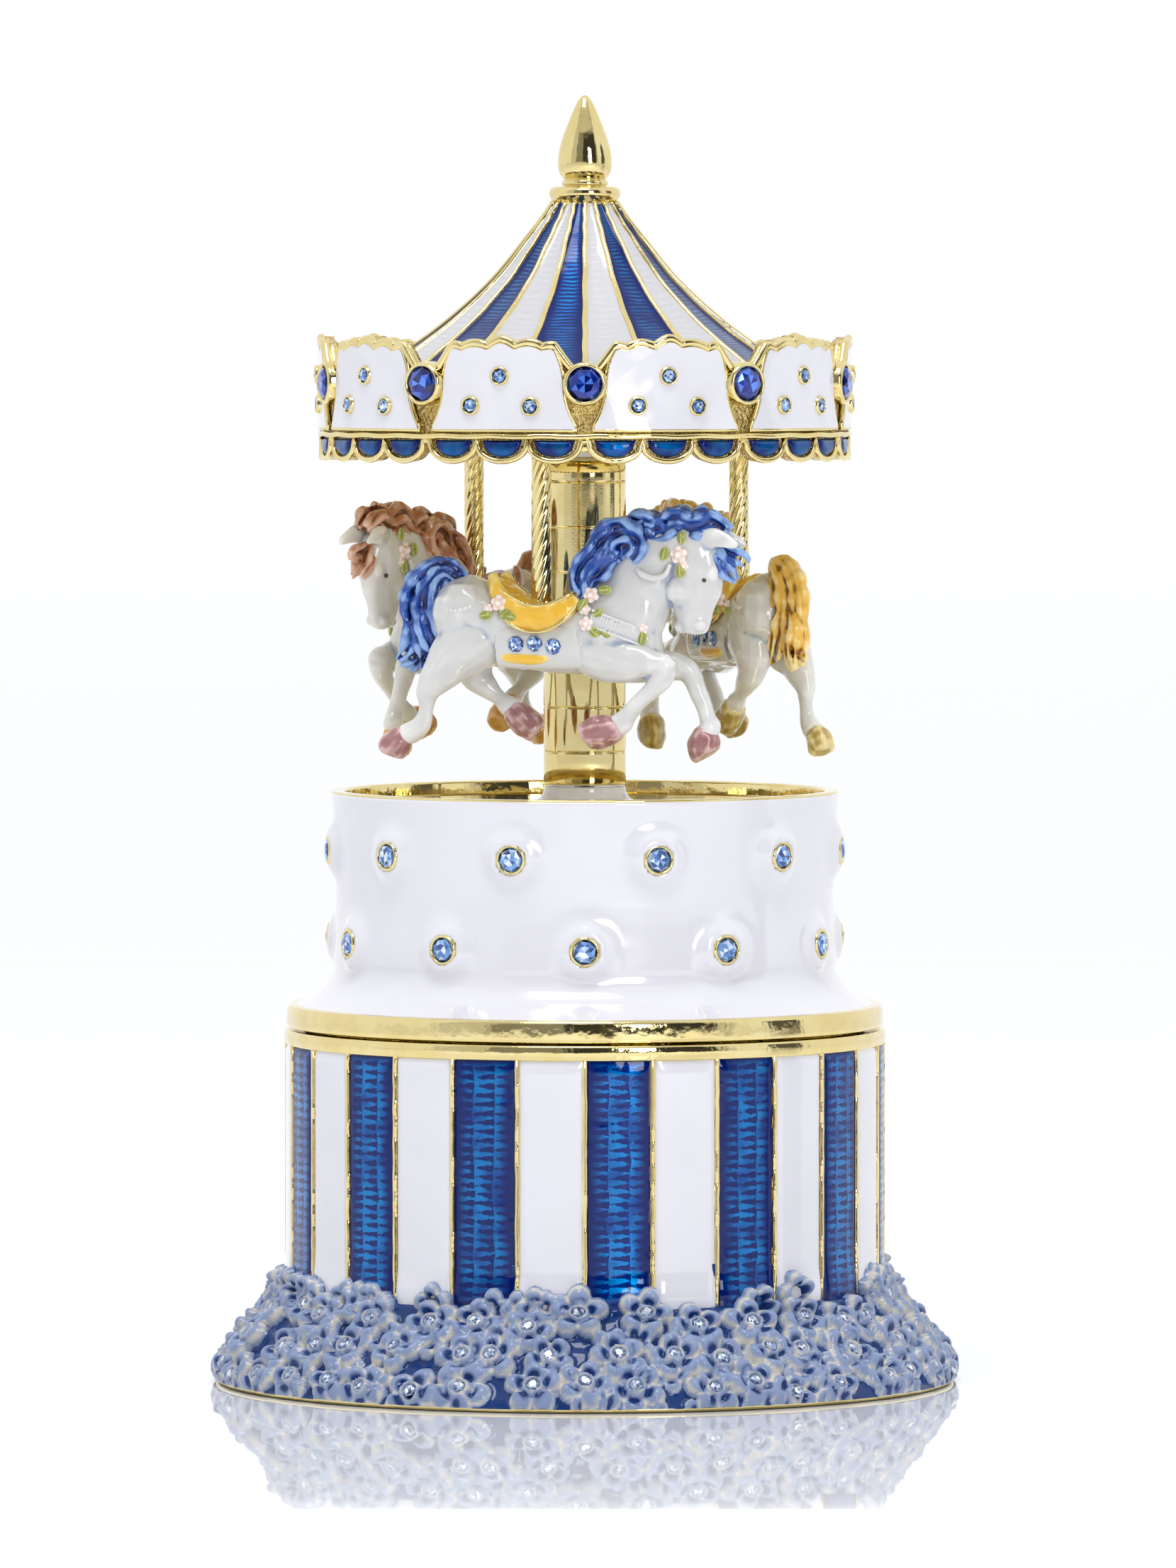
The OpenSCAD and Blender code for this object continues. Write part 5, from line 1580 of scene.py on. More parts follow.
@dataclass
class Roof(Assembly):
    """The concave striped roof and its finial."""

    body: str = "carousel"
    stripes: int = 20
    ridge: float = 0.5
    keys: Sequence[Point] = ((4.4, 166.2), (5.9, 164.0), (8.4, 160.8), (13.0, 155.2), (19.1, 149.6),
                             (24.7, 145.5), (29.5, 142.4), (34.6, 140.0))

    def build(self) -> None:
        """Builds the shell, the ridges, both enamels and the finial."""
        self.shell()
        self.enamel("blue_roof_stripes", 19, Finishes.ROOF_BLUE, "blue_roof_enamel")
        self.enamel("white_roof_stripes", 0, Finishes.SHADED_ROOF_WHITE, "white_roof_enamel")
        self.finial()

    @cached_property
    def line(self) -> list[Key]:
        """The outline, filled in between its keys."""
        return flow(self.keys, 8)

    def at(self, share: float) -> Vector:
        """A place on the roof's outline, from the collar at 0 to the eaves at 1."""
        x = share * (len(self.line) - 1)
        i = min(int(x), len(self.line) - 2)
        return Vector(self.line[i]).lerp(Vector(self.line[i + 1]), x - i)

    def lifted(self, share: float, lift: float) -> Vector:
        """The same place, raised off the roof by lift."""
        a, b = self.at(max(0.0, share - 0.02)), self.at(min(1.0, share + 0.02))
        along = (b - a).normalized()
        return self.at(share) + Vector((-along.y, along.x)) * lift

    def shell(self) -> None:
        """The cast roof with a gold ridge between each two panels."""
        bm = bmesh.new()
        outer = [tuple(self.lifted(k / 48, -0.25)) for k in range(49)]
        inner = [tuple(self.lifted(k / 48, -1.3)) for k in range(48, -1, -1)]
        lathe(bm, outer + inner, 120, closed=True)
        for i in range(self.stripes):
            angle = i * TAU / self.stripes
            keys = []
            for k in range(41):
                share = k / 40
                r, z = self.lifted(share, 0.02)
                wander = 0.05 * math.sin(k * 1.3 + i * 2.1)
                place = spot(angle + wander / max(r, 5), r, z)
                keys.append((*place, self.ridge * (0.62 + 0.38 * share), 0.42))
            loft(bm, keys, 8, Vector((math.cos(angle), math.sin(angle), 0)))
        self.settle(bm, "roof_shell", Finishes.GOLD_RIM, "roof_casting")

    def enamel(self, name: str, first: int, finish: Finish, node: str) -> None:
        """Every second panel's enamel, a little sunk between its ridges.

        Args:
            name: the piece's name.
            first: the first panel that it fills.
            finish: the enamel.
            node: the CAD node that it stands for.
        """
        bm = bmesh.new()
        pitch = TAU / self.stripes
        for n in range(self.stripes // 2):
            i = (first + 2 * n) % self.stripes

            def place(u: float, v: float) -> Vector:
                """The place at two shares, from 0 to 1."""
                side = abs(2 * u - 1)
                r, z = self.lifted(v, -0.12 + 0.2 * side ** 3)
                edge = 0.3 / max(r, 4.0)
                return spot(i * pitch + edge + u * (pitch - 2 * edge), r, z)
            sheet(bm, 10, 60, place, lambda u, v: (u, 34 * v))
        self.settle(bm, name, finish, node)

    def finial(self) -> None:
        """The collar, ring and bulb on top."""
        bm = bmesh.new()
        outline = eased([(0.0, 165.0), (4.3, 165.4), (4.45, 166.2), (4.9, 166.9), (5.1, 167.4),
                         (5.0, 168.0), (4.5, 168.4), (3.1, 168.5)], 0.25)
        outline += eased([(3.1, 168.55), (3.25, 168.7), (3.3, 168.95), (3.2, 169.25), (2.9, 169.4)], 0.1)
        bulb = flow([(2.95, 169.45), (3.4, 170.0), (3.73, 170.7), (3.84, 172.1), (3.6, 173.7),
                     (3.1, 175.5), (2.36, 177.4), (1.62, 179.2), (0.95, 180.5), (0.4, 181.15),
                     (0.0, 181.3)], 5)
        lathe(bm, outline + [tuple(p) for p in bulb], 96)
        self.settle(bm, "finial_bulb", Finishes.GOLD, "finial")


# ---------------------------------------------------------------- horses

@dataclass(frozen=True)
class HorseColours:
    """The enamels of one horse."""

    coat: Finish
    hair: Finish
    saddle: Finish
    hoof: Finish


def hair_enamel(name: str, hollow_shade: Colour, face: Colour, edge: Colour) -> ReliefShadedEnamel:
    """An enamel for manes and tails, with painted shade in its hollows and partly a painted highlight on its
    crests.
    """
    return ReliefShadedEnamel(name, edge=edge, face=face, hollow_shade=hollow_shade, depth=0.8, mottle=1.1, mottle_size=170.0,
                        rough=0.3)


# In each of these enamels the darkest colour is painted shade in the hollows, and the palest is partly a
# painted highlight on the crests.
BLUE_HAIR = hair_enamel("blue_hair", (0.0, 0.010, 0.11), (0.015, 0.075, 0.36), (0.26, 0.42, 0.74))
AMBER_HAIR = hair_enamel("amber_hair", (0.26, 0.10, 0.0), (0.82, 0.48, 0.07), (0.95, 0.76, 0.36))
COPPER_HAIR = hair_enamel("copper_hair", (0.13, 0.035, 0.01), (0.46, 0.19, 0.09), (0.74, 0.47, 0.34))
OCHRE = hair_enamel("ochre_saddle", (0.40, 0.18, 0.01), (0.84, 0.50, 0.05), (0.95, 0.74, 0.22))
COPPER_SADDLE = hair_enamel("copper_saddle", (0.12, 0.03, 0.01), (0.38, 0.17, 0.10), (0.66, 0.42, 0.32))
MAUVE_HOOF = hair_enamel("mauve_hoof", (0.12, 0.03, 0.03), (0.36, 0.17, 0.17), (0.66, 0.45, 0.44))
ORANGE_HOOF = hair_enamel("orange_hoof", (0.30, 0.11, 0.0), (0.72, 0.34, 0.06), (0.85, 0.58, 0.25))
BRONZE_HOOF = hair_enamel("bronze_hoof", (0.12, 0.07, 0.0), (0.42, 0.29, 0.06), (0.78, 0.64, 0.3))

TORSO: Sequence[Key] = (
    (-15.4, 0, 109.6, 1.6, 2.0), (-14.4, 0, 109.4, 3.4, 4.0), (-12.4, 0, 108.9, 4.6, 5.3),
    (-9.2, 0, 108.0, 5.1, 5.7), (-4.5, 0, 106.4, 4.7, 4.9), (1.0, 0, 105.3, 4.6, 4.6),
    (5.5, 0, 105.6, 4.8, 5.3), (9.2, 0, 106.6, 4.9, 6.6), (12.2, 0, 109.6, 4.1, 6.2),
    (14.3, 0, 113.2, 3.4, 5.2), (16.6, 0, 116.6, 2.9, 4.3), (19.6, 0, 118.3, 2.7, 3.2),
    (21.6, 0, 118.6, 2.2, 2.2))
HEAD: Sequence[Key] = (
    (21.6, 0, 120.2, 1.7, 2.2), (21.9, 0, 118.4, 2.5, 3.6), (22.1, 0, 116.0, 2.7, 4.2),
    (22.1, 0, 113.4, 2.5, 4.1), (22.0, 0, 111.0, 2.1, 3.6), (22.0, 0, 109.2, 1.75, 2.9),
    (22.2, 0, 107.6, 1.65, 2.3), (22.4, 0, 106.5, 1.3, 1.7), (22.4, 0, 106.1, 0.7, 0.9))
LEGS: Sequence[Sequence[Key]] = (
    ((5.4, -1.2, 104.6, 1.2, 1.6), (8.0, -1.7, 103.7, 3.2, 3.8), (12.4, -2.4, 102.4, 2.6, 3.2),
     (16.4, -2.8, 101.9, 1.9, 2.1), (18.7, -3.0, 101.5, 1.75, 1.8), (17.5, -3.1, 99.4, 1.4, 1.5),
     (15.3, -3.1, 97.0, 1.1, 1.2), (13.4, -3.1, 95.0, 1.15, 1.3), (12.3, -3.1, 93.8, 1.45, 1.6),
     (11.0, -3.1, 93.0, 1.4, 1.4)),
    ((6.0, 1.2, 104.4, 1.2, 1.6), (8.6, 1.7, 103.5, 3.2, 3.8), (13.2, 2.4, 102.0, 2.5, 3.0),
     (17.8, 2.8, 101.6, 1.8, 2.0), (20.3, 3.0, 101.0, 1.7, 1.75), (21.3, 3.1, 98.8, 1.4, 1.4),
     (22.4, 3.1, 96.4, 1.1, 1.15), (23.2, 3.1, 94.4, 1.2, 1.3), (23.6, 3.1, 93.2, 1.5, 1.6),
     (23.1, 3.1, 92.2, 1.4, 1.4)),
    ((-6.6, -1.2, 107.0, 1.4, 2.0), (-8.2, -1.9, 105.8, 3.3, 4.4), (-11.4, -2.6, 103.2, 2.9, 4.0),
     (-13.9, -2.9, 100.4, 2.0, 2.7), (-15.6, -3.0, 98.0, 1.45, 1.8), (-15.9, -3.0, 95.7, 1.1, 1.2),
     (-16.3, -3.0, 93.8, 1.15, 1.3), (-17.4, -3.0, 92.4, 1.4, 1.5), (-19.2, -3.0, 91.8, 1.3, 1.3)),
    ((-6.6, 1.2, 106.6, 1.4, 2.0), (-8.0, 1.9, 105.4, 3.3, 4.4), (-10.4, 2.6, 102.7, 2.8, 3.7),
     (-10.1, 2.9, 100.0, 1.9, 2.4), (-8.6, 3.0, 98.2, 1.35, 1.6), (-7.0, 3.0, 96.9, 1.1, 1.2),
     (-5.6, 3.0, 95.8, 1.2, 1.4), (-4.4, 3.0, 94.8, 1.4, 1.4)))
HOOVES: Sequence[Sequence[Key]] = (
    ((12.2, -3.1, 93.2, 1.3, 1.3), (11.4, -3.1, 92.9, 1.75, 1.85), (9.2, -3.1, 92.5, 2.0, 2.4),
     (7.4, -3.1, 92.1, 1.95, 2.0), (6.9, -3.1, 91.9, 1.6, 1.4)),
    ((23.3, 3.1, 92.9, 1.4, 1.5), (23.0, 3.1, 92.1, 1.8, 2.0), (22.6, 3.1, 90.6, 2.0, 2.4),
     (22.8, 3.1, 89.4, 1.9, 2.3), (23.0, 3.1, 89.0, 1.5, 1.7)),
    ((-18.6, -3.0, 92.0, 1.2, 1.3), (-19.3, -3.0, 91.5, 1.6, 1.8), (-20.4, -3.0, 90.5, 1.9, 2.2),
     (-21.1, -3.0, 89.5, 1.8, 2.0), (-21.3, -3.0, 89.1, 1.4, 1.5)),
    ((-5.5, 3.0, 95.5, 1.3, 1.3), (-4.9, 3.0, 95.0, 1.7, 1.8), (-3.2, 3.0, 93.6, 2.0, 2.2),
     (-1.8, 3.0, 92.5, 1.9, 1.9), (-1.3, 3.0, 92.1, 1.5, 1.4)))


EAR: Sequence[Key] = (
    (22.4, 1.1, 119.0, 0.6, 1.2), (24.4, 1.7, 119.5, 0.75, 1.5), (26.2, 2.1, 119.4, 0.7, 1.3),
    (27.6, 2.3, 119.0, 0.5, 0.9), (28.7, 2.4, 118.4, 0.25, 0.35))
MANE: Sequence[tuple[int, Sequence[Key]]] = (
    (3, ((26.6, 1.0, 120.4, 0.8), (24.6, 1.1, 121.9, 1.4), (22.0, 1.2, 121.0, 1.5), (19.6, 1.4, 121.7, 1.6),
         (17.0, 1.7, 120.2, 1.5), (15.2, 1.9, 121.0, 0.8))),
    (2, ((21.4, 0.5, 120.2, 1.0), (20.2, 0.7, 122.2, 1.3), (20.8, 0.6, 123.5, 0.7))),
    (2, ((24.6, 0.4, 120.6, 1.0), (23.4, 0.6, 122.3, 1.2), (24.4, 0.5, 123.2, 0.6))),
    (3, ((18.4, 1.0, 119.0, 1.2), (16.2, 1.5, 121.4, 1.5), (13.9, 1.6, 121.4, 1.2), (13.2, 2.0, 120.0, 0.7))),
    (4, ((12.6, 2.2, 120.6, 1.2), (10.2, 2.6, 119.0, 2.0), (8.4, 3.1, 116.6, 2.1), (7.0, 3.5, 114.0, 1.6),
         (7.2, 3.8, 111.8, 1.0), (6.2, 4.0, 110.6, 0.4))),
    (3, ((11.4, 2.4, 117.0, 1.2), (9.8, 3.2, 115.6, 1.5), (8.2, 3.7, 114.2, 1.1), (7.9, 3.9, 112.6, 0.5))),
    (3, ((9.6, 1.2, 117.6, 1.4), (7.6, 1.9, 115.4, 1.8), (6.2, 2.4, 113.0, 1.3), (6.0, 2.9, 111.2, 0.7))),
    (2, ((25.2, 0.9, 117.6, 0.7), (26.2, 1.0, 116.2, 0.9), (27.0, 0.9, 114.8, 0.8), (27.9, 0.9, 113.6, 0.4))))
FORELOCK: Sequence[Key] = ((25.2, 0.2, 118.0, 0.8), (27.2, 0, 117.3, 1.0), (28.8, 0, 116.6, 0.8),
                           (29.6, 0, 115.6, 0.4))
CREST: Sequence[Key] = (
    (24.5, 0, 120.8, 1.4, 1.2), (20.0, 0, 121.0, 1.8, 1.5), (15.6, 0, 119.6, 2.2, 1.7),
    (11.4, 0, 117.2, 2.6, 2.0), (8.6, 0, 113.8, 2.4, 1.6))
TAIL: Sequence[Sequence[Key]] = (
    ((-11.2, 0, 113.0, 1.1), (-13.6, 0, 115.2, 1.7), (-16.6, -0.2, 113.6, 2.0), (-18.0, -0.4, 110.2, 2.0),
     (-17.2, -0.7, 106.6, 2.0), (-18.6, -0.8, 103.6, 1.7), (-20.6, -0.6, 102.0, 0.7)),
    ((-12.0, -0.4, 113.4, 1.1), (-14.2, -0.8, 114.4, 1.4), (-16.2, -1.2, 111.4, 1.6),
     (-16.0, -1.6, 107.4, 1.6), (-14.2, -1.8, 104.0, 1.5), (-12.4, -1.8, 101.6, 0.6)),
    ((-12.0, 0.4, 113.4, 1.1), (-14.2, 0.8, 114.4, 1.4), (-16.0, 1.0, 111.0, 1.6), (-15.8, 1.2, 107.0, 1.6),
     (-14.8, 1.2, 103.6, 1.5), (-13.2, 1.2, 101.4, 0.6)),
    ((-15.6, -0.6, 110.8, 1.3), (-16.8, -0.9, 107.4, 1.6), (-16.0, -1.2, 104.0, 1.6),
     (-16.8, -1.2, 100.8, 0.6)),
    ((-17.6, 0.2, 109.4, 1.3), (-18.8, 0.3, 106.4, 1.5), (-18.0, 0.4, 103.6, 1.5), (-19.2, 0.4, 101.0, 0.6)))
SEAT: Sequence[Key] = (
    (-7.2, 0, 114.6, 1.4), (-6.0, 0, 113.2, 3.4), (-4.2, 0, 111.3, 4.9), (-1.4, 0, 109.9, 5.2),
    (1.6, 0, 109.4, 5.2), (4.4, 0, 110.2, 5.0), (6.2, 0, 111.6, 4.0), (6.9, 0, 112.6, 2.4))
FLAP: Sequence[Key] = (
    (-6.4, 2.9, 114.4, 0.55, 0.7), (-5.0, 4.2, 111.6, 0.65, 1.3), (-2.4, 5.0, 109.0, 0.65, 1.8),
    (1.0, 5.2, 108.2, 0.65, 2.0), (4.0, 5.0, 109.2, 0.65, 1.7), (6.2, 3.9, 111.2, 0.6, 1.1))
SADDLE_EDGES: Sequence[Sequence[Key]] = (
    ((-6.5, 2.6, 114.3, 0.14), (-5.7, 3.5, 113.5, 0.26), (-3.9, 4.7, 111.7, 0.26), (-1.0, 5.2, 110.3, 0.26),
     (2.0, 5.2, 110.2, 0.26), (4.8, 4.9, 111.3, 0.26), (5.9, 4.2, 112.1, 0.14)),
    ((-5.6, 4.3, 110.4, 0.24), (-3.2, 5.3, 107.7, 0.24), (-1.0, 5.75, 106.6, 0.24), (1.6, 5.85, 106.5, 0.24),
     (4.2, 5.6, 107.7, 0.24), (6.3, 4.4, 110.2, 0.24)))
ROSES: Sequence[Key] = (
    (-4.7, 5.0, 110.4, 1.25), (-6.4, 4.7, 109.6, 0.8), (8.4, 4.4, 111.6, 1.2), (7.6, 4.8, 109.6, 0.9),
    (7.9, 5.2, 107.6, 1.1), (15.4, 3.0, 106.9, 0.9), (20.5, 2.7, 117.2, 1.35), (21.2, 2.6, 115.6, 0.8))
LEAVES: Sequence[Key] = (
    (-6.7, 4.9, 108.7, 10), (-2.9, 5.4, 108.5, -15), (-3.8, 5.2, 108.9, 40), (10.3, 4.2, 112.3, 5),
    (7.3, 4.9, 110.2, 60), (9.4, 4.9, 109.0, 30), (9.0, 5.1, 106.5, -40), (10.4, 4.6, 106.3, -20),
    (15.4, 3.2, 105.6, 80), (20.8, 2.4, 119.5, 90), (18.5, 3.0, 117.3, 75), (20.8, 2.9, 114.9, 95))
STRAP: Sequence[Key] = ((8.6, 4.9, 108.4), (11.4, 4.5, 107.3), (14.2, 3.5, 106.2), (15.8, 2.2, 105.4))
REIN: Sequence[Key] = (
    (14.6, 3.2, 115.2, 0.3, 0.3), (15.4, 3.5, 114.5, 0.55, 0.5), (17.0, 3.3, 113.9, 0.6, 0.5),
    (18.6, 3.0, 114.4, 0.55, 0.45), (19.3, 2.7, 115.9, 0.3, 0.3))
BLANKET: Sequence[Key] = (
    (-4.9, 3.5, 104.5, 1.1, 2.8), (-4.6, 3.7, 104.5, 1.3, 3.1), (0.0, 3.8, 104.3, 1.35, 3.1),
    (6.0, 3.8, 104.5, 1.4, 3.3), (6.5, 3.7, 104.6, 1.1, 3.0))
STRIP: Sequence[Key] = (
    (-4.5, 4.5, 102.9, 0.4, 0.3), (-3.4, 4.75, 102.8, 0.45, 0.75), (0.0, 4.85, 102.6, 0.45, 0.8),
    (1.6, 4.8, 102.7, 0.45, 0.65), (2.4, 4.7, 102.8, 0.4, 0.3))


@dataclass
class Horse(Assembly):
    """One leaping horse, cast and enamelled, hung on its pole."""

    body: str = "carousel"
    number: int = 1
    turn: float = 0.0
    swing: float = 0.0
    orbit: float = 22.5
    colours: HorseColours | None = None
    shapes: dict[str, Mesh] = field(default_factory=dict)

    def build(self) -> None:
        """Sets this horse's pieces on the carousel."""
        if not self.shapes:
            self.model()
        n, c = self.number, self.colours
        stand_in = {"coat": [f"horse_{n}"], "hair": [f"horse_{n}_hair"]}
        if n == 1:
            stand_in.update(saddle=["saddles"], stones=["saddle_crystals"])
        finish = {"coat": c.coat, "hair": c.hair, "saddle": c.saddle, "hooves": c.hoof, "roses": Finishes.ROSE,
                  "leaves": Finishes.LEAF, "tack": c.coat, "eyes": Finishes.EYE, "stones": Finishes.CRYSTAL,
                  "strips": c.saddle, "edges": Finishes.GOLD_RIM}
        seat = (Matrix.Rotation(self.turn, 4, "Z") @ Matrix.Translation((0, -self.orbit, 0))
                @ Matrix.Rotation(self.swing, 4, "Z"))
        for part, mesh in self.shapes.items():
            self.settle(mesh.copy(), f"horse_{n}_{part}_enamel", finish[part], *stand_in.get(part, []),
                        matrix=seat, smooth=part != "stones")

    def model(self) -> None:
        """Sculpts the pieces that every horse shares, round the pole's axis with the nose along +X."""
        for sculpt in (self.coat, self.hair, self.saddle, self.hooves, self.roses, self.leaves, self.tack,
                       self.eyes, self.stones, self.strips, self.edges):
            self.shapes[sculpt.__name__] = sculpt()

    def finished(self, bm: Shape, voxel: float, smooth: int, gain: float = 1.0,
                 ruffle: float = 0.0, ripple: float = 0.4) -> Mesh:
        """Melts a part into one skin, works its surface and marks its relief, which its finish turns into
        painted shade in the hollows.

        Args:
            bm: the part.
            voxel: the skin's fineness.
            smooth: rounds of smoothing.
            gain: the relief's strength.
            ruffle: how high the surface's unevenness is.
            ripple: how close together its waves are, per millimetre.

        Returns:
            The finished mesh.
        """
        mesh = cast(bm, voxel, smooth)
        if ruffle:
            for vert, way in zip(mesh.vertices, [v.normal.copy() for v in mesh.vertices]):
                vert.co += way * ruffle * noise.noise(vert.co * ripple)
        mark_relief(mesh, gain)
        return mesh

    def coat(self) -> Mesh:
        """Body, neck, head, ears and legs."""
        bm = bmesh.new()
        loft(bm, flow(TORSO, 4), 20)
        loft(bm, flow(HEAD, 3), 18)
        for leg in LEGS:
            loft(bm, flow(leg, 4), 14)
        for side in (-1, 1):
            blob(bm, Vector((20.6, 1.2 * side, 112.4)), (2.4, 1.45, 2.5))
            blob(bm, Vector((24.6, 1.45 * side, 114.6)), (1.3, 0.9, 1.4))
            blob(bm, Vector((23.1, 1.2 * side, 107.4)), (0.9, 0.65, 0.8))
            blob(bm, Vector((-10.6, 2.1 * side, 108.6)), (4.8, 3.3, 4.8))
            blob(bm, Vector((9.4, 2.1 * side, 106.0)), (4.0, 3.0, 5.0))
            loft(bm, flow(flipped(EAR, side), 3), 10)
        blob(bm, Vector((20.2, 0, 107.1)), (1.2, 1.05, 0.9))
        blob(bm, Vector((15.4, 0, 104.3)), (2.3, 3.0, 3.2))
        return self.finished(bm, 0.25, 8, 1.0, 0.3, 0.35)

    def lock(self, bm: Shape, keys: Sequence[Key], strands: int = 3, spread: float = 0.8) -> None:
        """A lock of hair made of strands that lie side by side.

        Args:
            bm: the mesh to add it to.
            keys: the lock's path as x, y, z and half width.
            strands: how many strands it has.
            spread: how far apart they lie, as a share of the lock's half width.
        """
        run = flow([(x, y, z, w) for x, y, z, w in keys], 5)
        for s in range(strands):
            offset = (2 * s / max(1, strands - 1) - 1) if strands > 1 else 0.0
            path = []
            for i, (x, y, z, w) in enumerate(run):
                a, b = Vector(run[max(0, i - 1)][:3]), Vector(run[min(len(run) - 1, i + 1)][:3])
                ahead = (b - a).normalized()
                deep = ahead.cross(Vector((0, 1, 0))).normalized()
                t = i / (len(run) - 1)
                shift = deep * offset * w * spread + Vector((0, (0.25 if s % 2 else -0.1) * w, 0))
                shift += deep * 0.18 * w * math.sin(7 * t + 2.1 * s)
                taper = 0.55 + 0.45 * math.sin(math.pi * min(1.0, 0.15 + 0.9 * t))
                thick = w * (1.15 / strands + 0.12) * taper
                path.append((*(Vector((x, y, z)) + shift), thick * 1.25, thick))
            loft(bm, path, 8)

    def hair(self) -> Mesh:
        """Mane, forelock and tail."""
        bm = bmesh.new()
        for side in (-1, 1):
            for strands, keys in MANE:
                self.lock(bm, flipped(keys, side), strands)
            centre = Vector((12.3, 2.9 * side, 118.4))
            curl = []
            for k in range(9):
                a = math.radians(-60 + 38 * k)
                curl.append((centre.x + 2.5 * math.cos(a), centre.y - 0.05 * k * side,
                             centre.z + 2.2 * math.sin(a), 1.0 + 0.12 * k))
            self.lock(bm, curl, 3, 0.75)
        self.lock(bm, FORELOCK, 2)
        loft(bm, flow(CREST, 4), 12)
        for tail in TAIL:
            self.lock(bm, tail, 4)
        return self.finished(bm, 0.18, 1, 1.5, 0.55, 0.5)

    def saddle(self) -> Mesh:
        """The seat, with a high cantle, a pommel and a flap on each side."""
        bm = bmesh.new()
        depth = flow([(d,) for d in (1.0, 2.2, 3.2, 3.3, 2.9, 2.4, 1.6, 0.8)], 4)
        loft(bm, [(x, y, z - 1.1, w, d[0] * 0.55 + 0.5) for (x, y, z, w), d in zip(flow(SEAT, 4), depth)], 20)
        for side in (-1, 1):
            loft(bm, flow(flipped(FLAP, side), 4), 12)
        return self.finished(bm, 0.25, 3, 1.0, 0.3, 0.6)

    def edges(self) -> Mesh:
        """The thin gold edges of the saddle."""
        bm = bmesh.new()
        for side in (-1, 1):
            for keys in SADDLE_EDGES:
                loft(bm, flow(flipped([(*key, key[3]) for key in keys], side), 4), 8)
        return self.finished(bm, 0.12, 1)

    def hooves(self) -> Mesh:
        """The four hooves."""
        bm = bmesh.new()
        for hoof in HOOVES:
            loft(bm, flow(hoof, 4), 14)
        return self.finished(bm, 0.2, 4, 1.2, 0.22, 0.7)

    def roses(self) -> Mesh:
        """The roses at the cantle, withers, breast and cheek."""
        bm = bmesh.new()
        for side in (-1, 1):
            for x, y, z, size in ROSES:
                self.rose(bm, Vector((x, y * side, z)), size, side)
        return self.finished(bm, 0.13, 1)

    def rose(self, bm: Shape, place: Vector, size: float, side: int) -> None:
        """One rose: a bud in a ring of petals."""
        bud = place + Vector((0, 0.35 * size * side, 0))
        blob(bm, bud, (0.42 * size, 0.5 * size, 0.42 * size), segments=10)
        for k in range(5):
            a = k * TAU / 5 + place.x
            at = place + Vector((0.58 * size * math.cos(a), 0.05 * side, 0.58 * size * math.sin(a)))
            blob(bm, at, (0.42 * size, 0.42 * size, 0.42 * size), segments=10)

    def leaves(self) -> Mesh:
        """The leaves round the roses."""
        bm = bmesh.new()
        for side in (-1, 1):
            for x, y, z, turn in LEAVES:
                turned = Matrix.Rotation(-math.radians(turn), 4, "Y")
                blob(bm, Vector((x, y * side, z)), (1.05, 0.45, 0.7), turned, 10)
                blob(bm, Vector((x, (y + 0.32) * side, z)), (0.8, 0.3, 0.16), turned, 8)
        return self.finished(bm, 0.13, 1)

    def tack(self) -> Mesh:
        """The ribbed breast strap, the bead band on the rump, the rein and the blanket."""
        bm = bmesh.new()
        for side in (-1, 1):
            strap = flow(flipped(STRAP, side), 7)
            for x, y, z, *_ in strap:
                lean = Matrix.Rotation(math.radians(20), 4, "Y")
                blob(bm, Vector((x, y, z)), (0.2, 0.55, 1.05), lean, 8)
            for level in (1.15, -1.15):
                loft(bm, [(x, y, z + level, 0.45, 0.2) for x, y, z, *_ in strap], 8)
            for k in range(8):
                t = k / 7
                aside, height = 3.6 + 1.5 * math.sin(2.2 * t), 110.0 - 0.7 * math.sin(3 * t)
                blob(bm, Vector((-13.6 + 4.6 * t, aside * side, height)), (0.42, 0.42, 0.42), segments=8)
            loft(bm, flow(flipped(REIN, side), 4), 8)
            loft(bm, flow(flipped(BLANKET, side), 3), 24)
        return self.finished(bm, 0.15, 1)

    def eyes(self) -> Mesh:
        """The two dark eyes."""
        bm = bmesh.new()
        for side in (-1, 1):
            blob(bm, Vector((24.0, 2.18 * side, 113.7)), (0.34, 0.3, 0.34), segments=12)
        return meshed(bm, "eyes")

    def stones(self) -> Mesh:
        """Three crystals on each side of the blanket."""
        bm = bmesh.new()
        for side in (-1, 1):
            for k, (x, z) in enumerate(((-2.3, 104.7), (0.4, 104.8), (3.1, 104.4))):
                seat = facing(Vector((x, 5.2 * side, z)), Vector((0, side, -0.05)).normalized(), k)
                brilliant(bm, 1.18, seat, 200 + k + 5 * side, 8)
        bmesh.ops.recalc_face_normals(bm, faces=bm.faces)
        return meshed(bm, "stones")

    def strips(self) -> Mesh:
        """The ochre strip under the crystals."""
        bm = bmesh.new()
        for side in (-1, 1):
            loft(bm, flow(flipped(STRIP, side), 3), 10)
        return self.finished(bm, 0.18, 2)


# ---------------------------------------------------------------- movement

class Movement:
    """Finishes for the movement and the other pieces that keep their CAD shape."""

    SLOTS = {
        "movement_brass": Finishes.BRASS, "movement_casting": Finishes.CASTING,
        "polished_steel": Finishes.STEEL, "comb_steel": Finishes.GROUND_STEEL,
        "blued_spring_steel": Finishes.BLUED, "white_nylon": Finishes.NYLON, "gold_plate": Finishes.GOLD}

    def dress(self, frame: dict) -> None:
        """Gives each CAD node the finish of its slot."""
        slots = {part["node"]: part["material_slot"] for part in frame["record"]["subparts"]}
        for name, node in frame["nodes"].items():
            finish = self.SLOTS.get(slots[name], Finishes.WHITE)
            for slot in node.material_slots:
                slot.material = finish.material()
            log.info("%s keeps its shape, in %s", name, finish.name)


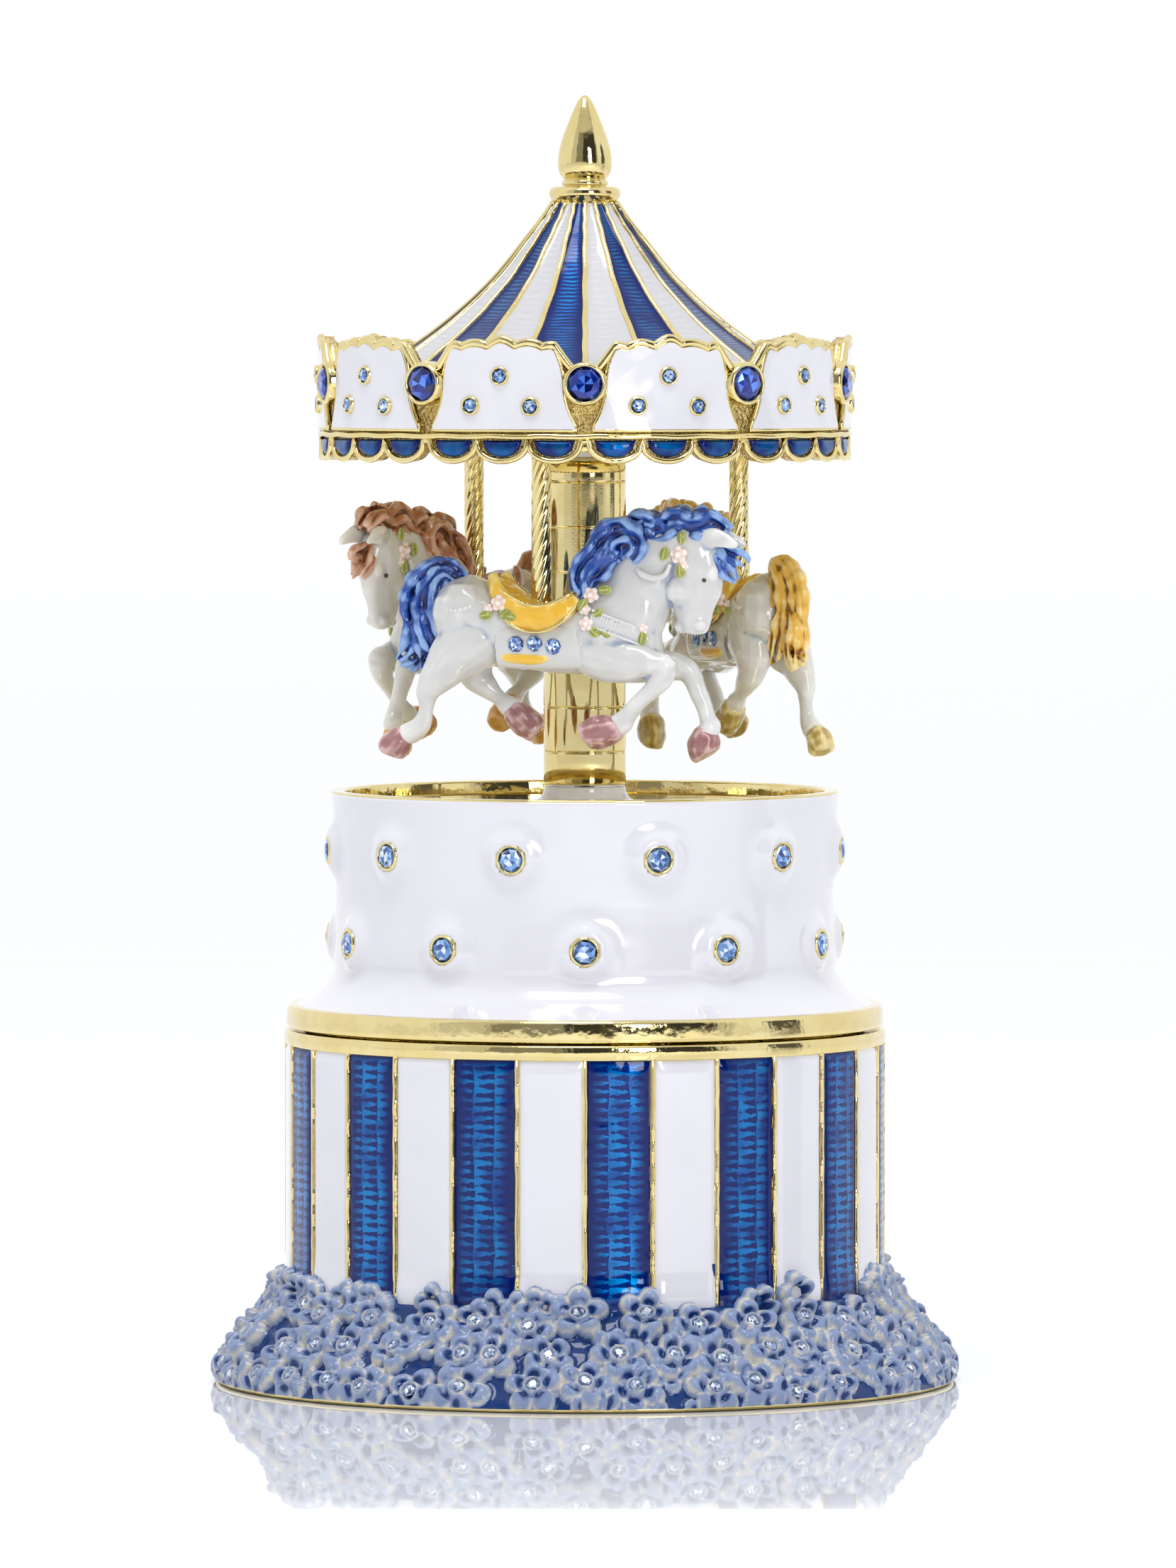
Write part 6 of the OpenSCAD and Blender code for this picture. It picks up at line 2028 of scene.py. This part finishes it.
# ---------------------------------------------------------------- studio

@dataclass
class Studio:
    """The pale table, the soft light and the camera."""

    distance: float = 1.67
    eye: float = 0.1533
    sensor: float = 36.0
    focal: float = 271.8
    tilt: float = 2.37
    aside: float = 0.00045
    white: float = 1.05
    tint: Colour = (0.97, 0.98, 1.0)
    shades: Sequence[Key] = (
        (-60.0, 60.0, -70.0, 70.0, 0.72), (-38.0, 53.0, -50.0, 40.0, 0.30), (-7.0, 52.0, -50.0, 38.0, 0.05),
        (76.0, 92.0, -20.0, 22.0, 0.12))

    def build(self) -> None:
        """Sets the table, the light and the camera."""
        self.table()
        self.surroundings()
        self.softbox("front_softbox", 21.0, 15.0, 1.25, (0.26, 0.56), 4.0)
        self.softbox("top_softbox", -12.0, 68.0, 1.1, (0.5, 0.4), 5.0)
        self.camera()

    def table(self) -> None:
        """A glossy white table."""
        bm = bmesh.new()
        bmesh.ops.create_grid(bm, x_segments=2, y_segments=2, size=6.0)
        table = put("table", meshed(bm, "table"))
        table.location.z = -0.0001
        material = bpy.data.materials.new("white_gloss_table")
        material.use_nodes = True
        kit = Tree(material.node_tree)
        near = kit.add("ShaderNodeSeparateXYZ", {0: kit.place()}).outputs[1]
        fade = kit.add("ShaderNodeMapRange", {0: near, 1: -0.18, 2: -0.06, 3: 0.0, 4: 0.85}).outputs[0]
        shader = kit.add("ShaderNodeBsdfPrincipled", {
            "Base Color": (0.93, 0.93, 0.94), "Roughness": kit.between(kit.drift(3.0), 0.012, 0.025),
            "Specular IOR Level": fade})
        kit.add("ShaderNodeOutputMaterial", {"Surface": shader.outputs[0]})
        table.data.materials.append(material)

    def surroundings(self) -> None:
        """The studio that the metal mirrors: white all round, with the dark room behind the camera."""
        world = bpy.data.worlds.new("studio")
        bpy.context.scene.world = world
        world.use_nodes = True
        kit = Tree(world.node_tree)
        way = kit.add("ShaderNodeSeparateXYZ", {0: kit.add("ShaderNodeTexCoord").outputs["Generated"]})
        ahead = kit.math("MULTIPLY", way.outputs[1], -1.0)
        side = kit.math("MULTIPLY", kit.math("ARCTAN2", way.outputs[0], ahead), 360 / TAU)
        height = kit.math("MULTIPLY", kit.math("ARCSINE", way.outputs[2]), 360 / TAU)
        level: float | Socket = self.white
        for left, right, low, high, tone in self.shades:
            inside = kit.ramp(side, left - 1.5, left + 1.5)
            for fade in (kit.ramp(side, right + 1.5, right - 1.5), kit.ramp(height, low - 3.0, low + 3.0),
                         kit.ramp(height, high + 3.0, high - 3.0)):
                inside = kit.math("MULTIPLY", inside, fade)
            level = kit.add("ShaderNodeMix", {0: inside, 2: level, 3: tone}).outputs[0]
        seen = kit.add("ShaderNodeLightPath").outputs["Is Camera Ray"]
        level = kit.math("MAXIMUM", level, seen)
        tint = kit.mix(seen, self.tint, (1.0, 1.0, 1.0))
        sky = kit.add("ShaderNodeBackground", {"Color": tint, "Strength": level})
        kit.add("ShaderNodeOutputWorld", {"Surface": sky.outputs[0]})

    def softbox(self, name: str, side: float, height: float, away: float, size: Point, power: float) -> None:
        """A soft rectangular light that looks at the middle of the box.

        Args:
            name: the light's name.
            side: degrees from the front, towards the right.
            height: degrees above the table.
            away: distance in metres.
            size: width and height in metres.
            power: watts.
        """
        middle = Vector((0, 0, 0.09))
        turned = spot(math.radians(side), math.cos(math.radians(height)), math.sin(math.radians(height)))
        light = bpy.data.lights.new(name, "AREA")
        light.shape = "RECTANGLE"
        light.size, light.size_y = size
        light.energy = power
        lamp = put(name, light)
        lamp.location = middle + turned * away
        lamp.rotation_euler = (-turned).to_track_quat("-Z", "Y").to_euler()

    def camera(self) -> None:
        """The camera, a little above the box and tipped down."""
        data = bpy.data.cameras.new("camera")
        data.sensor_fit = "VERTICAL"
        data.sensor_height = self.sensor
        data.lens = self.focal
        data.clip_end = 50.0
        eye = put("camera", data)
        eye.location = (self.aside, -self.distance, self.eye)
        eye.rotation_euler = (math.radians(90 - self.tilt), 0, 0)
        bpy.context.scene.camera = eye
        bpy.context.scene.view_settings.view_transform = "Standard"


def main() -> None:
    """Builds every piece round the frame."""
    logging.basicConfig(level=logging.INFO, format="%(name)s: %(message)s", stream=sys.stdout)
    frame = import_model()
    Studio().build()
    Movement().dress(frame)
    Drum().build()
    FlowerBorder().build()
    Tier().build()
    column = Column()
    column.build()
    turns = [math.radians(-15.5 + 120 * k) for k in range(3)]
    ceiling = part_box("canopy_ceiling")[0][2] / MM
    column.poles(turns, 108.6, ceiling + 0.2)
    Crown().build()
    Roof().build()
    schemes = (HorseColours(Finishes.PEARL, BLUE_HAIR, OCHRE, MAUVE_HOOF),
               HorseColours(Finishes.WARM_PEARL, AMBER_HAIR, OCHRE, BRONZE_HOOF),
               HorseColours(Finishes.WARM_PEARL, COPPER_HAIR, COPPER_SADDLE, ORANGE_HOOF))
    shapes: dict[str, Mesh] = {}
    for k, colours in enumerate(schemes):
        Horse(number=k + 1, turn=turns[k], swing=math.radians(10 if k else 0), colours=colours,
              shapes=shapes).build()


if __name__ == "__main__":
    main()
